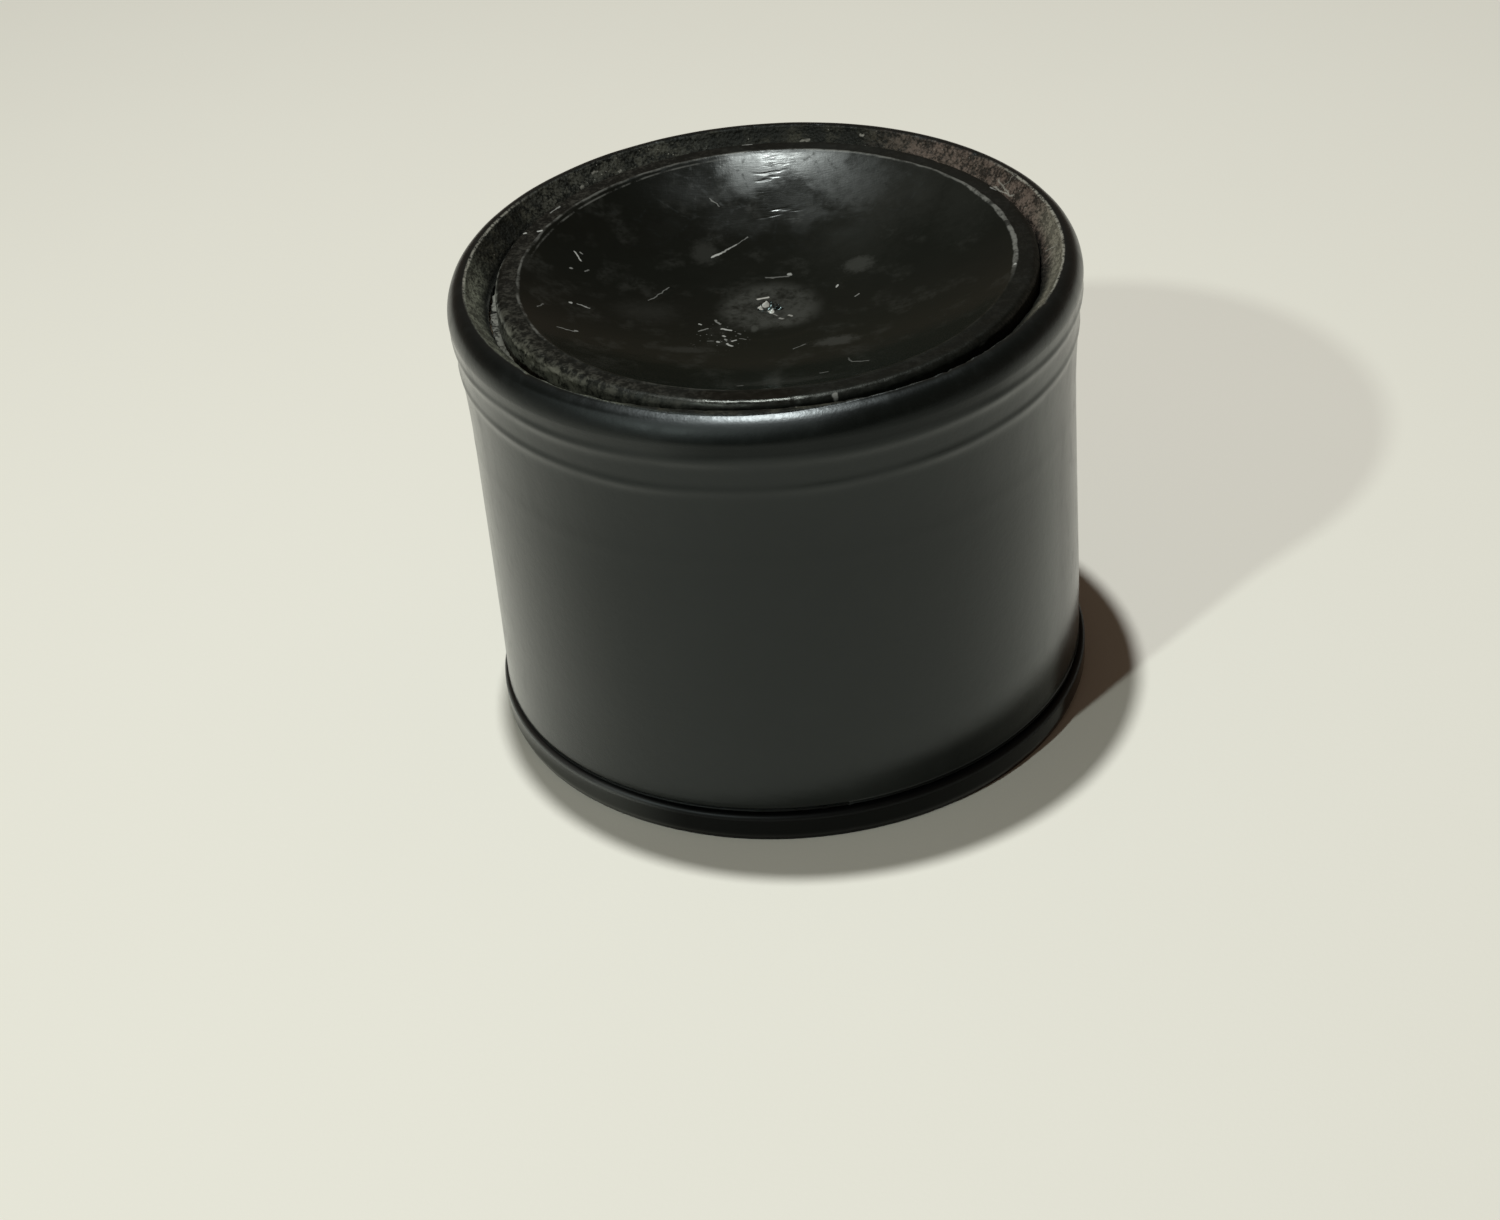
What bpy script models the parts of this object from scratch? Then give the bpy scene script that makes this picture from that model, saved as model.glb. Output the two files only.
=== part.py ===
"""Round leather dice cup, stood mouth down: a leather sleeve turned over a corded rim at the
closed end, a stiff core tube inside it, a dished moulded base disc set into the rim, a moulded
lip ring round the mouth, a floor board and a felt lining.

Metres, +Z up. The origin is the centre of the mouth's resting plane, and +Z runs up the cup's
axis to its closed end. Every piece is turned about that axis, so each one is drawn as half a
cross-section of (radius, height) points in millimetres and spun round.
"""

import math

import bmesh
import bpy
from mathutils import Vector

MM = 0.001
FACETS = 72          # round the sleeve, base disc and lip ring
FACETS_INSIDE = 48   # round the pieces inside them
GAP = 0.3            # clearance between neighbouring pieces
MERGE_DISTANCE = 2e-6  # metres; closes the seam and the points on the axis
SHARP_ANGLE = 35.0     # degrees; steeper edges are shaded sharp

# ---- overall -------------------------------------------------------------------------------
MOUTH_R = 44.75      # lip ring, where it is widest
HEIGHT = 70.2        # table to the crest of the rolled rim

# ---- lip ring ------------------------------------------------------------------------------
LIP_TOP = 4.45
LIP_SHOULDER_R = 44.05     # the rounded shoulder starts here on the top
LIP_WIDE_Z = 3.75          # the shoulder ends here, at the widest radius
LIP_FOOT_Z = 1.2           # below here the outer face is pared in toward the table
LIP_FOOT_R = 44.4
LIP_FOOT_ROUND = 0.25
LIP_FOOT_MID = 0.07        # inset of the foot rounding's middle point, both ways
LIP_INNER_R = 38.4
LIP_INNER_ROUND = 1.6      # rounding between the inner face and the table
LIP_INNER_BEVEL = 0.5      # bevel between the inner face and the top
CHANNEL_FLOOR_Z = 2.4      # groove that holds the core tube's end

# ---- leather sleeve ------------------------------------------------------------------------
LEATHER_T = 1.75     # full leather
SKIVED_T = 0.83      # the pared part that is turned in
WALL_R = 44.0        # outside of the straight wall
HEM_Z = LIP_TOP + GAP  # lower edge of the leather
HEM_ROUND = 0.3      # rounding of that edge
HEM_TUCK = 0.2       # how far the hem draws in
HEM_TUCK_POWER = 1.7
TUCK_Z = 11.5        # the hem draws in below this height
FLARE_Z = 46.0       # from here the wall swells out to the rim
RIM_WIDE_Z = 66.6    # height where the rim is widest
RIM_WIDE_R = 45.3
CREST_R = 42.8       # radius of the rim's crest, a fairly crisp fold
CREST_ROUND = 0.7    # rounding of that fold on its inner side
SLOPE = 52.0         # degrees from level of the leather's slope down to the base disc
SLOPE_FOOT_R = 40.25 # where that slope turns down beside the disc
TURN_IN_R = 39.52    # the turned-in leather's face towards the base disc
TURN_IN_Z = 60.2     # where the turned-in leather ends, deep inside
FOOT_BEND_IN = 0.25  # middle point of the bend below the slope: this far outside TURN_IN_R
FOOT_BEND_DROP = 0.85  # and this far below the slope's foot
FOOT_DROP = 1.5      # the bend ends this far below the slope's foot

# Cross-section of the low ridges round the wall: height from the ridge's middle, share of
# RIDGE_HEIGHT that it stands out.
RIDGES_Z = (64.2, 59.4)
RIDGE_HEIGHT = 0.22
RIDGE_UP = 1.4       # half width above the ridge's middle
RIDGE_DOWN = 1.7     # half width below it
RIDGE_SHAPE = ((RIDGE_UP, 0.0), (0.3, 1.0), (-0.3, 1.0), (-RIDGE_DOWN, 0.0))

# ---- core tube and rim cord ----------------------------------------------------------------
TUBE_IN_R = 40.65
TUBE_OUT_R = WALL_R - LEATHER_T - GAP
TUBE_TOP = 64.6
TUBE_LOW = CHANNEL_FLOOR_Z + GAP
BORE_FIT_R = TUBE_IN_R - GAP   # outside of whatever fits in the tube's bore
CORD_R = 1.1

# ---- base disc -----------------------------------------------------------------------------
DISH_R = 35.3        # edge of the dish
DISH_POWER = 2.6     # the dish is nearly flat in the middle and steepest at its edge
DISH_FLOOR_Z = 62.0  # height of the middle of the dish
LAND_Z = 69.56       # flat land round the dish
LAND_BEAD_OUT = 0.25 # low bead between dish and land: its crest lies this far outside DISH_R
LAND_BEAD_RISE = 0.05
LAND_START = 0.6     # the flat land starts this far outside DISH_R
DISC_R = 38.7        # outside of the disc
DISC_EDGE_ROUND = 1.1
GROOVE_FLOOR_Z = 65.2
GROOVE_BEVEL = 0.2   # bevel at the inner corner of the groove's floor
SKIRT_R = TURN_IN_R - GAP
SKIRT_T = 2.0
SKIRT_Z = 60.0       # the skirt's lower edge, over the floor board
SKIRT_BEND_IN = 0.2  # corner where the skirt meets the web: inward from the skirt's bore
SKIRT_BEND_DROP = 0.8  # and below the web's edge
WEB_T = 2.0          # thickness under the middle of the dish
WEB_RISE = 0.9       # the underside rises by this share of the dish's own rise
GATE_R = 0.95        # moulding gate scar in the middle
GATE_FLOOR_R = GATE_R * 0.6
GATE_DEPTH = 0.35
GATE_EDGE_RISE = 0.02

# ---- floor board and felt ------------------------------------------------------------------
BOARD_T = 1.5
FELT_T = 1.35
PAD_T = 1.2
BOARD_TOP = SKIRT_Z - GAP
BOARD_LOW = BOARD_TOP - BOARD_T
FELT_TOP = BOARD_LOW - GAP
FELT_LOW = LIP_TOP + GAP
FELT_IN_R = BORE_FIT_R - FELT_T
PAD_LOW = FELT_TOP - PAD_T


# ---- curves --------------------------------------------------------------------------------
def evenly(start, end, steps):
    """Evenly spaced values from start to end, both included."""
    return [start + (end - start) * i / steps for i in range(steps + 1)]


def arc(centre_r, centre_z, half_r, half_z, start, end, steps):
    """Points along an ellipse in the (radius, height) plane, from start to end in degrees."""
    angles = [math.radians(angle) for angle in evenly(start, end, steps)]
    return [(centre_r + half_r * math.cos(a), centre_z + half_z * math.sin(a)) for a in angles]


def wall_r(z):
    """Outer radius of the leather wall, without its ridges."""
    if z < TUCK_Z:
        return WALL_R - HEM_TUCK * ((TUCK_Z - z) / (TUCK_Z - HEM_Z)) ** HEM_TUCK_POWER
    if z <= FLARE_Z:
        return WALL_R
    share = (z - FLARE_Z) / (RIM_WIDE_Z - FLARE_Z)
    return WALL_R + (RIM_WIDE_R - WALL_R) * share**2


def dish_z(r):
    """Height of the dish at radius r."""
    return DISH_FLOOR_Z + (LAND_Z - DISH_FLOOR_Z) * (r / DISH_R) ** DISH_POWER


def web_z(r):
    """Height of the dish's underside at radius r."""
    return DISH_FLOOR_Z - WEB_T + (dish_z(r) - DISH_FLOOR_Z) * WEB_RISE


def cord_centre():
    """The cord sits over the tube's end, beside the leather's outer wall."""
    z = TUBE_TOP + GAP + CORD_R
    return wall_r(z) - LEATHER_T - GAP - CORD_R, z


# ---- cross-sections ------------------------------------------------------------------------
def sleeve_outside():
    """From the rim's crest down over the ridges to the rounded hem."""
    points = arc(CREST_R, RIM_WIDE_Z, RIM_WIDE_R - CREST_R, HEIGHT - RIM_WIDE_Z, 90, 0, 6)
    for ridge in RIDGES_Z:
        for rise, share in RIDGE_SHAPE:
            z = ridge + rise
            points.append((wall_r(z) + RIDGE_HEIGHT * share, z))
    hem_top = HEM_Z + HEM_ROUND
    points += [(wall_r(z), z) for z in evenly(RIDGES_Z[-1] - RIDGE_DOWN, FLARE_Z, 3)[1:]]
    points += [(wall_r(z), z) for z in evenly(TUCK_Z, hem_top, 4)[:-1]]
    points += arc(wall_r(hem_top) - HEM_ROUND, hem_top, HEM_ROUND, HEM_ROUND, 0, -90, 3)
    return points


def sleeve_inside():
    """From the hem up the inside and round the cord, as far as the back of the slope."""
    cord_r, cord_z = cord_centre()
    points = [(WALL_R - LEATHER_T, HEM_Z)]
    points += [(wall_r(z) - LEATHER_T, z) for z in evenly(FLARE_Z, cord_z, 4)[:-1]]
    points += arc(cord_r, cord_z, CORD_R + GAP, CORD_R + GAP, 0, 90 + SLOPE, 6)
    return points


def sleeve_turn_in(slope_back):
    """From slope_back down the back of the turned-in leather, then up its face to the crest."""
    fall = math.tan(math.radians(SLOPE))
    back_r, back_z = slope_back
    leg_r = TURN_IN_R + SKIVED_T
    crest = arc(CREST_R, HEIGHT - CREST_ROUND, CREST_ROUND, CREST_ROUND, 90 + SLOPE, 90, 3)
    slope_top_r, slope_top_z = crest[0]
    foot_z = slope_top_z - (slope_top_r - SLOPE_FOOT_R) * fall
    return [
        (leg_r, back_z - (back_r - leg_r) * fall),
        (leg_r, TURN_IN_Z),
        (TURN_IN_R, TURN_IN_Z),
        (TURN_IN_R, foot_z - FOOT_DROP),
        (TURN_IN_R + FOOT_BEND_IN, foot_z - FOOT_BEND_DROP),
        (SLOPE_FOOT_R, foot_z),
        *crest[:-1],  # the crest's last point is the outside's first
    ]


def sleeve_profile():
    inside = sleeve_inside()
    return sleeve_outside() + inside + sleeve_turn_in(inside[-1])


def cord_profile():
    """An eight-sided round."""
    r, z = cord_centre()
    return arc(r, z, CORD_R, CORD_R, 90, -225, 7)


def tube_profile():
    """Down the outside, which follows the leather, then up the bore."""
    points = [(wall_r(z) - LEATHER_T - GAP, z) for z in evenly(TUBE_TOP, FLARE_Z, 3)]
    return points + [(TUBE_OUT_R, TUBE_LOW), (TUBE_IN_R, TUBE_LOW), (TUBE_IN_R, TUBE_TOP)]


def lip_profile():
    """Down the outer face, in along the table, up the inner face and round the channel."""
    channel_out = TUBE_OUT_R + GAP
    inner_round_r = LIP_INNER_R + LIP_INNER_ROUND
    return [
        *arc(LIP_SHOULDER_R, LIP_WIDE_Z,
             MOUTH_R - LIP_SHOULDER_R, LIP_TOP - LIP_WIDE_Z, 90, 0, 4),
        (MOUTH_R, LIP_FOOT_Z),
        (LIP_FOOT_R, LIP_FOOT_ROUND),
        (LIP_FOOT_R - LIP_FOOT_MID, LIP_FOOT_MID),
        (LIP_FOOT_R - LIP_FOOT_ROUND, 0.0),
        *arc(inner_round_r, LIP_INNER_ROUND, LIP_INNER_ROUND, LIP_INNER_ROUND, -90, -180, 3),
        (LIP_INNER_R, LIP_TOP - LIP_INNER_BEVEL),
        (LIP_INNER_R + LIP_INNER_BEVEL, LIP_TOP),
        (BORE_FIT_R, LIP_TOP),
        (BORE_FIT_R, CHANNEL_FLOOR_Z),
        (channel_out, CHANNEL_FLOOR_Z),
        (channel_out, LIP_TOP),
    ]


def base_profile():
    """Out along the dish and land, down the groove and skirt, back under the dish."""
    skirt_in_r = SKIRT_R - SKIRT_T
    return [
        (0.0, DISH_FLOOR_Z - GATE_DEPTH),
        (GATE_FLOOR_R, DISH_FLOOR_Z - GATE_DEPTH),
        (GATE_R, DISH_FLOOR_Z + GATE_EDGE_RISE),
        *[(r, dish_z(r)) for r in evenly(0.0, DISH_R, 8)[1:]],
        (DISH_R + LAND_BEAD_OUT, LAND_Z + LAND_BEAD_RISE),
        (DISH_R + LAND_START, LAND_Z),
        *arc(DISC_R - DISC_EDGE_ROUND, LAND_Z - DISC_EDGE_ROUND,
             DISC_EDGE_ROUND, DISC_EDGE_ROUND, 90, 0, 4),
        (DISC_R, GROOVE_FLOOR_Z + GROOVE_BEVEL),
        (DISC_R + GROOVE_BEVEL, GROOVE_FLOOR_Z),
        (SKIRT_R, GROOVE_FLOOR_Z),
        (SKIRT_R, SKIRT_Z),
        (skirt_in_r, SKIRT_Z),
        (skirt_in_r - SKIRT_BEND_IN, web_z(DISH_R) - SKIRT_BEND_DROP),
        *[(r, web_z(r)) for r in evenly(DISH_R, 0.0, 4)],
    ]


def band_profile(inner, outer, low, high):
    """A plain ring, or a solid disc where inner is 0."""
    return [(inner, high), (outer, high), (outer, low), (inner, low)]


# ---- building ------------------------------------------------------------------------------
def material(name, colour, roughness):
    made = bpy.data.materials.new(name)
    made.use_nodes = True
    shader = made.node_tree.nodes["Principled BSDF"]
    shader.inputs["Base Color"].default_value = (*colour, 1.0)
    shader.inputs["Roughness"].default_value = roughness
    return made


def turned(cup, name, profile, base_z, finish, facets=FACETS_INSIDE):
    """One solid of revolution, its own origin on the axis at height base_z (mm)."""
    bm = bmesh.new()
    corners = [bm.verts.new((r * MM, 0.0, (z - base_z) * MM)) for r, z in profile]
    edges = [bm.edges.new(pair) for pair in zip(corners, corners[1:])]
    on_axis = profile[0][0] == 0.0
    if not on_axis:
        edges.append(bm.edges.new((corners[-1], corners[0])))
    bmesh.ops.spin(bm, geom=corners + edges, cent=Vector((0, 0, 0)), axis=Vector((0, 0, 1)),
                   angle=2 * math.pi, steps=facets)
    bmesh.ops.remove_doubles(bm, verts=bm.verts, dist=MERGE_DISTANCE)
    bmesh.ops.recalc_face_normals(bm, faces=bm.faces)
    mesh = bpy.data.meshes.new(name)
    bm.to_mesh(mesh)
    bm.free()
    mesh.shade_smooth()
    mesh.set_sharp_from_angle(angle=math.radians(SHARP_ANGLE))
    mesh.materials.append(finish)
    made = bpy.data.objects.new(name, mesh)
    made.location = (0.0, 0.0, base_z * MM)
    made.parent = cup
    bpy.context.scene.collection.objects.link(made)


def build_shell(cup):
    """Sleeve, base disc and lip ring."""
    turned(cup, "leather_sleeve", sleeve_profile(), HEM_Z,
           material("black_leather", colour=(0.028, 0.030, 0.029), roughness=0.42), FACETS)
    turned(cup, "base_disc", base_profile(), SKIRT_Z,
           material("disc_moulding", colour=(0.022, 0.022, 0.021), roughness=0.30), FACETS)
    turned(cup, "lip_ring", lip_profile(), 0.0,
           material("lip_moulding", colour=(0.018, 0.018, 0.018), roughness=0.26), FACETS)


def build_core(cup):
    """Cord, tube and floor board."""
    turned(cup, "rim_cord", cord_profile(), TUBE_TOP,
           material("cotton_cord", colour=(0.50, 0.45, 0.36), roughness=0.9))
    turned(cup, "core_tube", tube_profile(), TUBE_LOW,
           material("tube_fibreboard", colour=(0.30, 0.23, 0.15), roughness=0.85))
    turned(cup, "floor_board", band_profile(0.0, BORE_FIT_R, BOARD_LOW, BOARD_TOP), BOARD_LOW,
           material("board_fibreboard", colour=(0.32, 0.25, 0.17), roughness=0.85))


def build_felt(cup):
    """Wall lining and floor pad."""
    felt = {"colour": (0.035, 0.035, 0.037), "roughness": 0.95}
    turned(cup, "felt_wall_lining", band_profile(FELT_IN_R, BORE_FIT_R, FELT_LOW, FELT_TOP),
           FELT_LOW, material("wall_felt", **felt))
    turned(cup, "felt_floor_pad", band_profile(0.0, FELT_IN_R - GAP, PAD_LOW, FELT_TOP),
           PAD_LOW, material("floor_felt", **felt))


def main():
    for old in list(bpy.data.objects):
        bpy.data.objects.remove(old, do_unlink=True)
    cup = bpy.data.objects.new("dice_cup", None)
    bpy.context.scene.collection.objects.link(cup)
    build_shell(cup)
    build_core(cup)
    build_felt(cup)


main()
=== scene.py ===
"""A round leather-covered cup standing mouth down, with its axis on z.

The lip ring of the mouth rests on the floor at z = 0; the rolled leather rim and the moulded base
disc are on top. The front is -y, where the camera is, and the right is +x. Shapes and shader places
are in millimetres; lights, camera and bump distances are in metres. Angles go round from +x.
"""

import math
from functools import cached_property
from typing import Any, NamedTuple

import bpy
import numpy as np
from mathutils import Matrix, Vector


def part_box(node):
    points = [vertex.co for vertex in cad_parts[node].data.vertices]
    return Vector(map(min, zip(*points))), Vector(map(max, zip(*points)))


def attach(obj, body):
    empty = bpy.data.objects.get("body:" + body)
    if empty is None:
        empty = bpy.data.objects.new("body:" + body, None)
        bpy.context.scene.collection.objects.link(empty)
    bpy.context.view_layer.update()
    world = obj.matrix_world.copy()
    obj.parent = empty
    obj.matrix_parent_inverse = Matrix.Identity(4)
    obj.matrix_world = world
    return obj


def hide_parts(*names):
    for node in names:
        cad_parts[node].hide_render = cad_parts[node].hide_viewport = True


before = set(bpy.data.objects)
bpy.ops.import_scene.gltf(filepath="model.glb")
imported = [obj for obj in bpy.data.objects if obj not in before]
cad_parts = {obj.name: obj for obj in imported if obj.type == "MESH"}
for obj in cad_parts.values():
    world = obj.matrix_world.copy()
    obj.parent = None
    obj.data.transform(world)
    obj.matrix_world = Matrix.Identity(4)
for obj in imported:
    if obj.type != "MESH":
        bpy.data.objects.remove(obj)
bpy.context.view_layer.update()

MM = 0.001


# ---- Places read from the CAD pieces ----


def box_mm(node):
    lo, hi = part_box(node)
    return [v * 1000 for v in lo], [v * 1000 for v in hi]


sleeve_lo, sleeve_hi = box_mm("leather_sleeve")
disc_lo, disc_hi = box_mm("base_disc")
lip_lo, lip_hi = box_mm("lip_ring")
cord_lo, cord_hi = box_mm("rim_cord")
felt_lo, felt_hi = box_mm("felt_wall_lining")
pad_lo, pad_hi = box_mm("felt_floor_pad")

# leather sleeve: wall, hem at the bottom, rolled rim at the top
HEIGHT = sleeve_hi[2]
HEM_Z = sleeve_lo[2]
RIM_WIDE_R = sleeve_hi[0]
RIM_WIDE_Z = 66.6
WALL_R = 44.0
LEATHER_T = 1.75
SKIVED_T = 0.83
HEM_ROUND = 0.3
HEM_TUCK = 0.2
TUCK_Z = 11.5
HEM_DRAW_Z = 17.0  # below here the hem draws in or stands out
FLARE_Z = 46.0
CREST_R = 42.8
CREST_ROUND = 0.7
SLOPE = 52.0  # degrees, the slope inside the rim
SLOPE_FOOT_R = 40.25
RIDGES = ((64.2, 0.19), (59.4, 0.17))  # height up the wall, how far it stands out

# the slack bead at the front: tilt in degrees reached, and the radius of curvature to there
SOFT_BEAD = ((20.0, 1.3), (31.0, 8.2), (72.5, 3.8), (90.0, 1.5))
SOFT_CREST_R = 41.75

# base disc: a dish, a flat land round it, a groove outside and a skirt below
SKIRT_R = disc_hi[0]
SKIRT_Z = disc_lo[2]
SKIRT_T = 2.0
LAND_Z = disc_hi[2] - 0.05
DISH_R = 35.3
DISH_FLOOR_Z = 62.0
DISH_POWER = 2.6
DISH_T = 2.0
DISC_R = 38.7
DISC_EDGE_ROUND = 1.1
GROOVE_FLOOR_Z = 65.2
GATE_X, GATE_Y = 0.2, 0.3
DISC_DX, DISC_DY = 0.45, -0.15  # the disc sits a little off centre

# the leather turned in beside the skirt
TURN_IN_R = SKIRT_R + 0.3
TURN_IN_Z = 60.2

# rim cord, inside the rolled rim
CORD_R = (cord_hi[2] - cord_lo[2]) / 2
CORD_Z = (cord_lo[2] + cord_hi[2]) / 2
CORD_GAP = 0.3
CORD_TURNS = 48
CORD_ALONG = 620
CORD_SIDES = 8

# lip ring
MOUTH_R = lip_hi[0]
LIP_TOP = lip_hi[2]
LIP_IN_R = 38.4
LIP_SHOULDER_R = 44.05
LIP_WIDE_Z = 3.75
LIP_FOOT_Z = 1.2
LIP_FOOT_R = 44.4
LIP_CHANNEL_IN_R = felt_hi[0]
LIP_CHANNEL_Z = 2.4

FELT_T = 1.35


# ---- Mesh tools ----


class Noise:
    """Gradient noise in three dimensions, the same on every run.

    Places are divided by the size of the lumps wanted; the result is about -1 to 1.
    """

    def __init__(self, seed):
        rng = np.random.RandomState(seed)
        self.order = np.concatenate([rng.permutation(256)] * 2)
        slopes = rng.normal(size=(256, 3))
        self.slopes = slopes / np.linalg.norm(slopes, axis=1)[:, None]

    def __call__(self, x, y, z):
        place = np.stack(np.broadcast_arrays(x, y, z), -1).astype(float)
        cell = np.floor(place).astype(int)
        part = place - cell
        fade = part * part * part * (part * (part * 6 - 15) + 10)
        cell &= 255
        total = 0.0
        for dx in (0, 1):
            for dy in (0, 1):
                for dz in (0, 1):
                    picked = self.order[(cell[..., 0] + dx) & 255]
                    picked = self.order[picked + ((cell[..., 1] + dy) & 255)]
                    picked = self.order[picked + ((cell[..., 2] + dz) & 255)]
                    away = part - np.array((dx, dy, dz))
                    weight = (
                        (fade[..., 0] if dx else 1 - fade[..., 0])
                        * (fade[..., 1] if dy else 1 - fade[..., 1])
                        * (fade[..., 2] if dz else 1 - fade[..., 2])
                    )
                    total = total + weight * (self.slopes[picked] * away).sum(-1)
        return total * 1.6

    def around(self, angle, spread, z):
        """Noise sampled on a circle of radius spread, so it closes on itself."""
        return self(np.cos(angle) * spread, np.sin(angle) * spread, z)

    def fractal(self, x, y, z, octaves):
        total, size, gain = 0.0, 1.0, 1.0
        for _ in range(octaves):
            total = total + gain * self(x * size + 13.7 * size, y * size + 5.1, z * size - 8.3)
            size *= 2.03
            gain *= 0.5
        return total


class Shift(NamedTuple):
    """How a surface moves, in mm: along its normals, then along x, y, outwards and upwards."""

    push: Any
    dx: Any = 0
    dy: Any = 0
    out: Any = 0
    up: Any = 0


def ease(value, start, end):
    share = np.clip((value - start) / (end - start), 0, 1)
    return share * share * (3 - 2 * share)


def hump(value, centre, width):
    """1 at centre, falling off as a bell."""
    return np.exp(-np.square((value - centre) / width))


def near_angle(angle, centre, half):
    """1 at an angle in degrees, falling to 0 at half either side of it."""
    off = np.abs((np.degrees(angle) - centre + 180) % 360 - 180)
    return 1 - ease(off, 0, half)


def arc(centre_r, centre_z, half_r, half_z, start, end, steps):
    angles = [math.radians(start + (end - start) * i / steps) for i in range(steps + 1)]
    return [(centre_r + half_r * math.cos(a), centre_z + half_z * math.sin(a)) for a in angles]


def unit(rows):
    return rows / np.maximum(np.linalg.norm(rows, axis=1), 1e-9)[:, None]


def signed_volume(mesh):
    mesh.calc_loop_triangles()
    places = np.empty(len(mesh.vertices) * 3)
    mesh.vertices.foreach_get("co", places)
    places = places.reshape(-1, 3)
    corners = np.empty(len(mesh.loop_triangles) * 3, int)
    mesh.loop_triangles.foreach_get("vertices", corners)
    tri = places[corners.reshape(-1, 3)]
    return float((tri[:, 0] * np.cross(tri[:, 1], tri[:, 2])).sum() / 6)


def add_piece(name, verts, faces):
    """A smooth object facing outwards, from vertices in mm."""
    mesh = bpy.data.meshes.new(name)
    mesh.from_pydata((np.array(verts) * MM).tolist(), [], faces)
    mesh.update()
    if signed_volume(mesh) < 0:
        mesh.flip_normals()
    mesh.shade_smooth()
    made = bpy.data.objects.new(name, mesh)
    bpy.context.scene.collection.objects.link(made)
    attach(made, "root")
    return made


def stand_in(made, node, material):
    """Put a piece in place of a CAD piece."""
    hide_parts(node)
    made.data.materials.append(material)


def turned(name, profile, around, closed, shape):
    """A turned piece from (radius, z) points.

    shape(x, y, z, radius, angle, face_out, face_up) gives a Shift; face_out and face_up are the
    outward and upward parts of the surface normal.
    """
    outline = np.array(profile, float)
    count = len(outline)
    ahead = np.roll(outline, -1, 0) - outline
    behind = outline - np.roll(outline, 1, 0)
    if not closed:
        ahead[-1] = behind[-1]
        behind[0] = ahead[0]
    tangent = unit(unit(ahead) + unit(behind))

    def spread(column):
        return np.repeat(column[:, None], around, 1)

    face_out, face_up = spread(-tangent[:, 1]), spread(tangent[:, 0])
    radius, z = spread(outline[:, 0]), spread(outline[:, 1])
    angle = np.repeat((np.arange(around) * 2 * math.pi / around)[None, :], count, 0)
    x, y = radius * np.cos(angle), radius * np.sin(angle)
    shift = shape(x, y, z, radius, angle, face_out, face_up)
    outward = shift.push * face_out + shift.out
    x = x + outward * np.cos(angle) + shift.dx
    y = y + outward * np.sin(angle) + shift.dy
    z = z + shift.push * face_up + shift.up
    verts = np.stack([x, y, z], -1).reshape(-1, 3)

    rows = np.arange(count if closed else count - 1)
    i = rows[:, None] * around
    i2 = ((rows + 1) % count)[:, None] * around
    j = np.arange(around)[None, :]
    j2 = (j + 1) % around
    quads = np.broadcast_arrays(i + j, i2 + j, i2 + j2, i + j2)
    faces = np.stack(quads, -1).reshape(-1, 4).tolist()
    if not closed:
        # the first and last rows sit close to the axis and are closed by a fan each
        first, last = len(verts), len(verts) + 1
        verts = np.vstack([verts, [[0, 0, z[0].mean()], [0, 0, z[-1].mean()]]])
        end = (count - 1) * around
        faces += [(first, k, (k + 1) % around) for k in range(around)]
        faces += [(last, end + (k + 1) % around, end + k) for k in range(around)]
    return add_piece(name, verts, faces)


# ---- Material tools ----


def arithmetic(operation):
    """The two methods for an operator: wire first, and wire second."""

    def forward(self, other):
        return self.paint.op(operation, self, other)

    def backward(self, other):
        return self.paint.op(operation, other, self)

    return forward, backward


class Wire:
    """A shader output that can be used in sums; each sum makes a math node."""

    __add__, __radd__ = arithmetic("ADD")
    __sub__, __rsub__ = arithmetic("SUBTRACT")
    __mul__, __rmul__ = arithmetic("MULTIPLY")
    __truediv__, __rtruediv__ = arithmetic("DIVIDE")

    def __init__(self, paint, socket):
        self.paint = paint
        self.socket = socket

    def __abs__(self):
        return self.paint.op("ABSOLUTE", self)

    def ramp(self, start, to, gives=(0, 1)):
        """A smooth step, 0 at start and 1 at to unless gives says otherwise."""
        inputs = {"Value": self, "From Min": start, "From Max": to}
        inputs.update({"To Min": gives[0], "To Max": gives[1]})
        node = self.paint.node(
            "ShaderNodeMapRange", inputs, interpolation_type="SMOOTHSTEP", clamp=True
        )
        return Wire(self.paint, node.outputs["Result"])

    def within(self, half, soft):
        """1 up to half, falling to 0 over soft more."""
        return self.ramp(half, to=half + soft, gives=(1, 0))

    def band(self, centre, half, soft):
        """1 near centre, falling to 0."""
        return abs(self - centre).within(half, soft)


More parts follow.
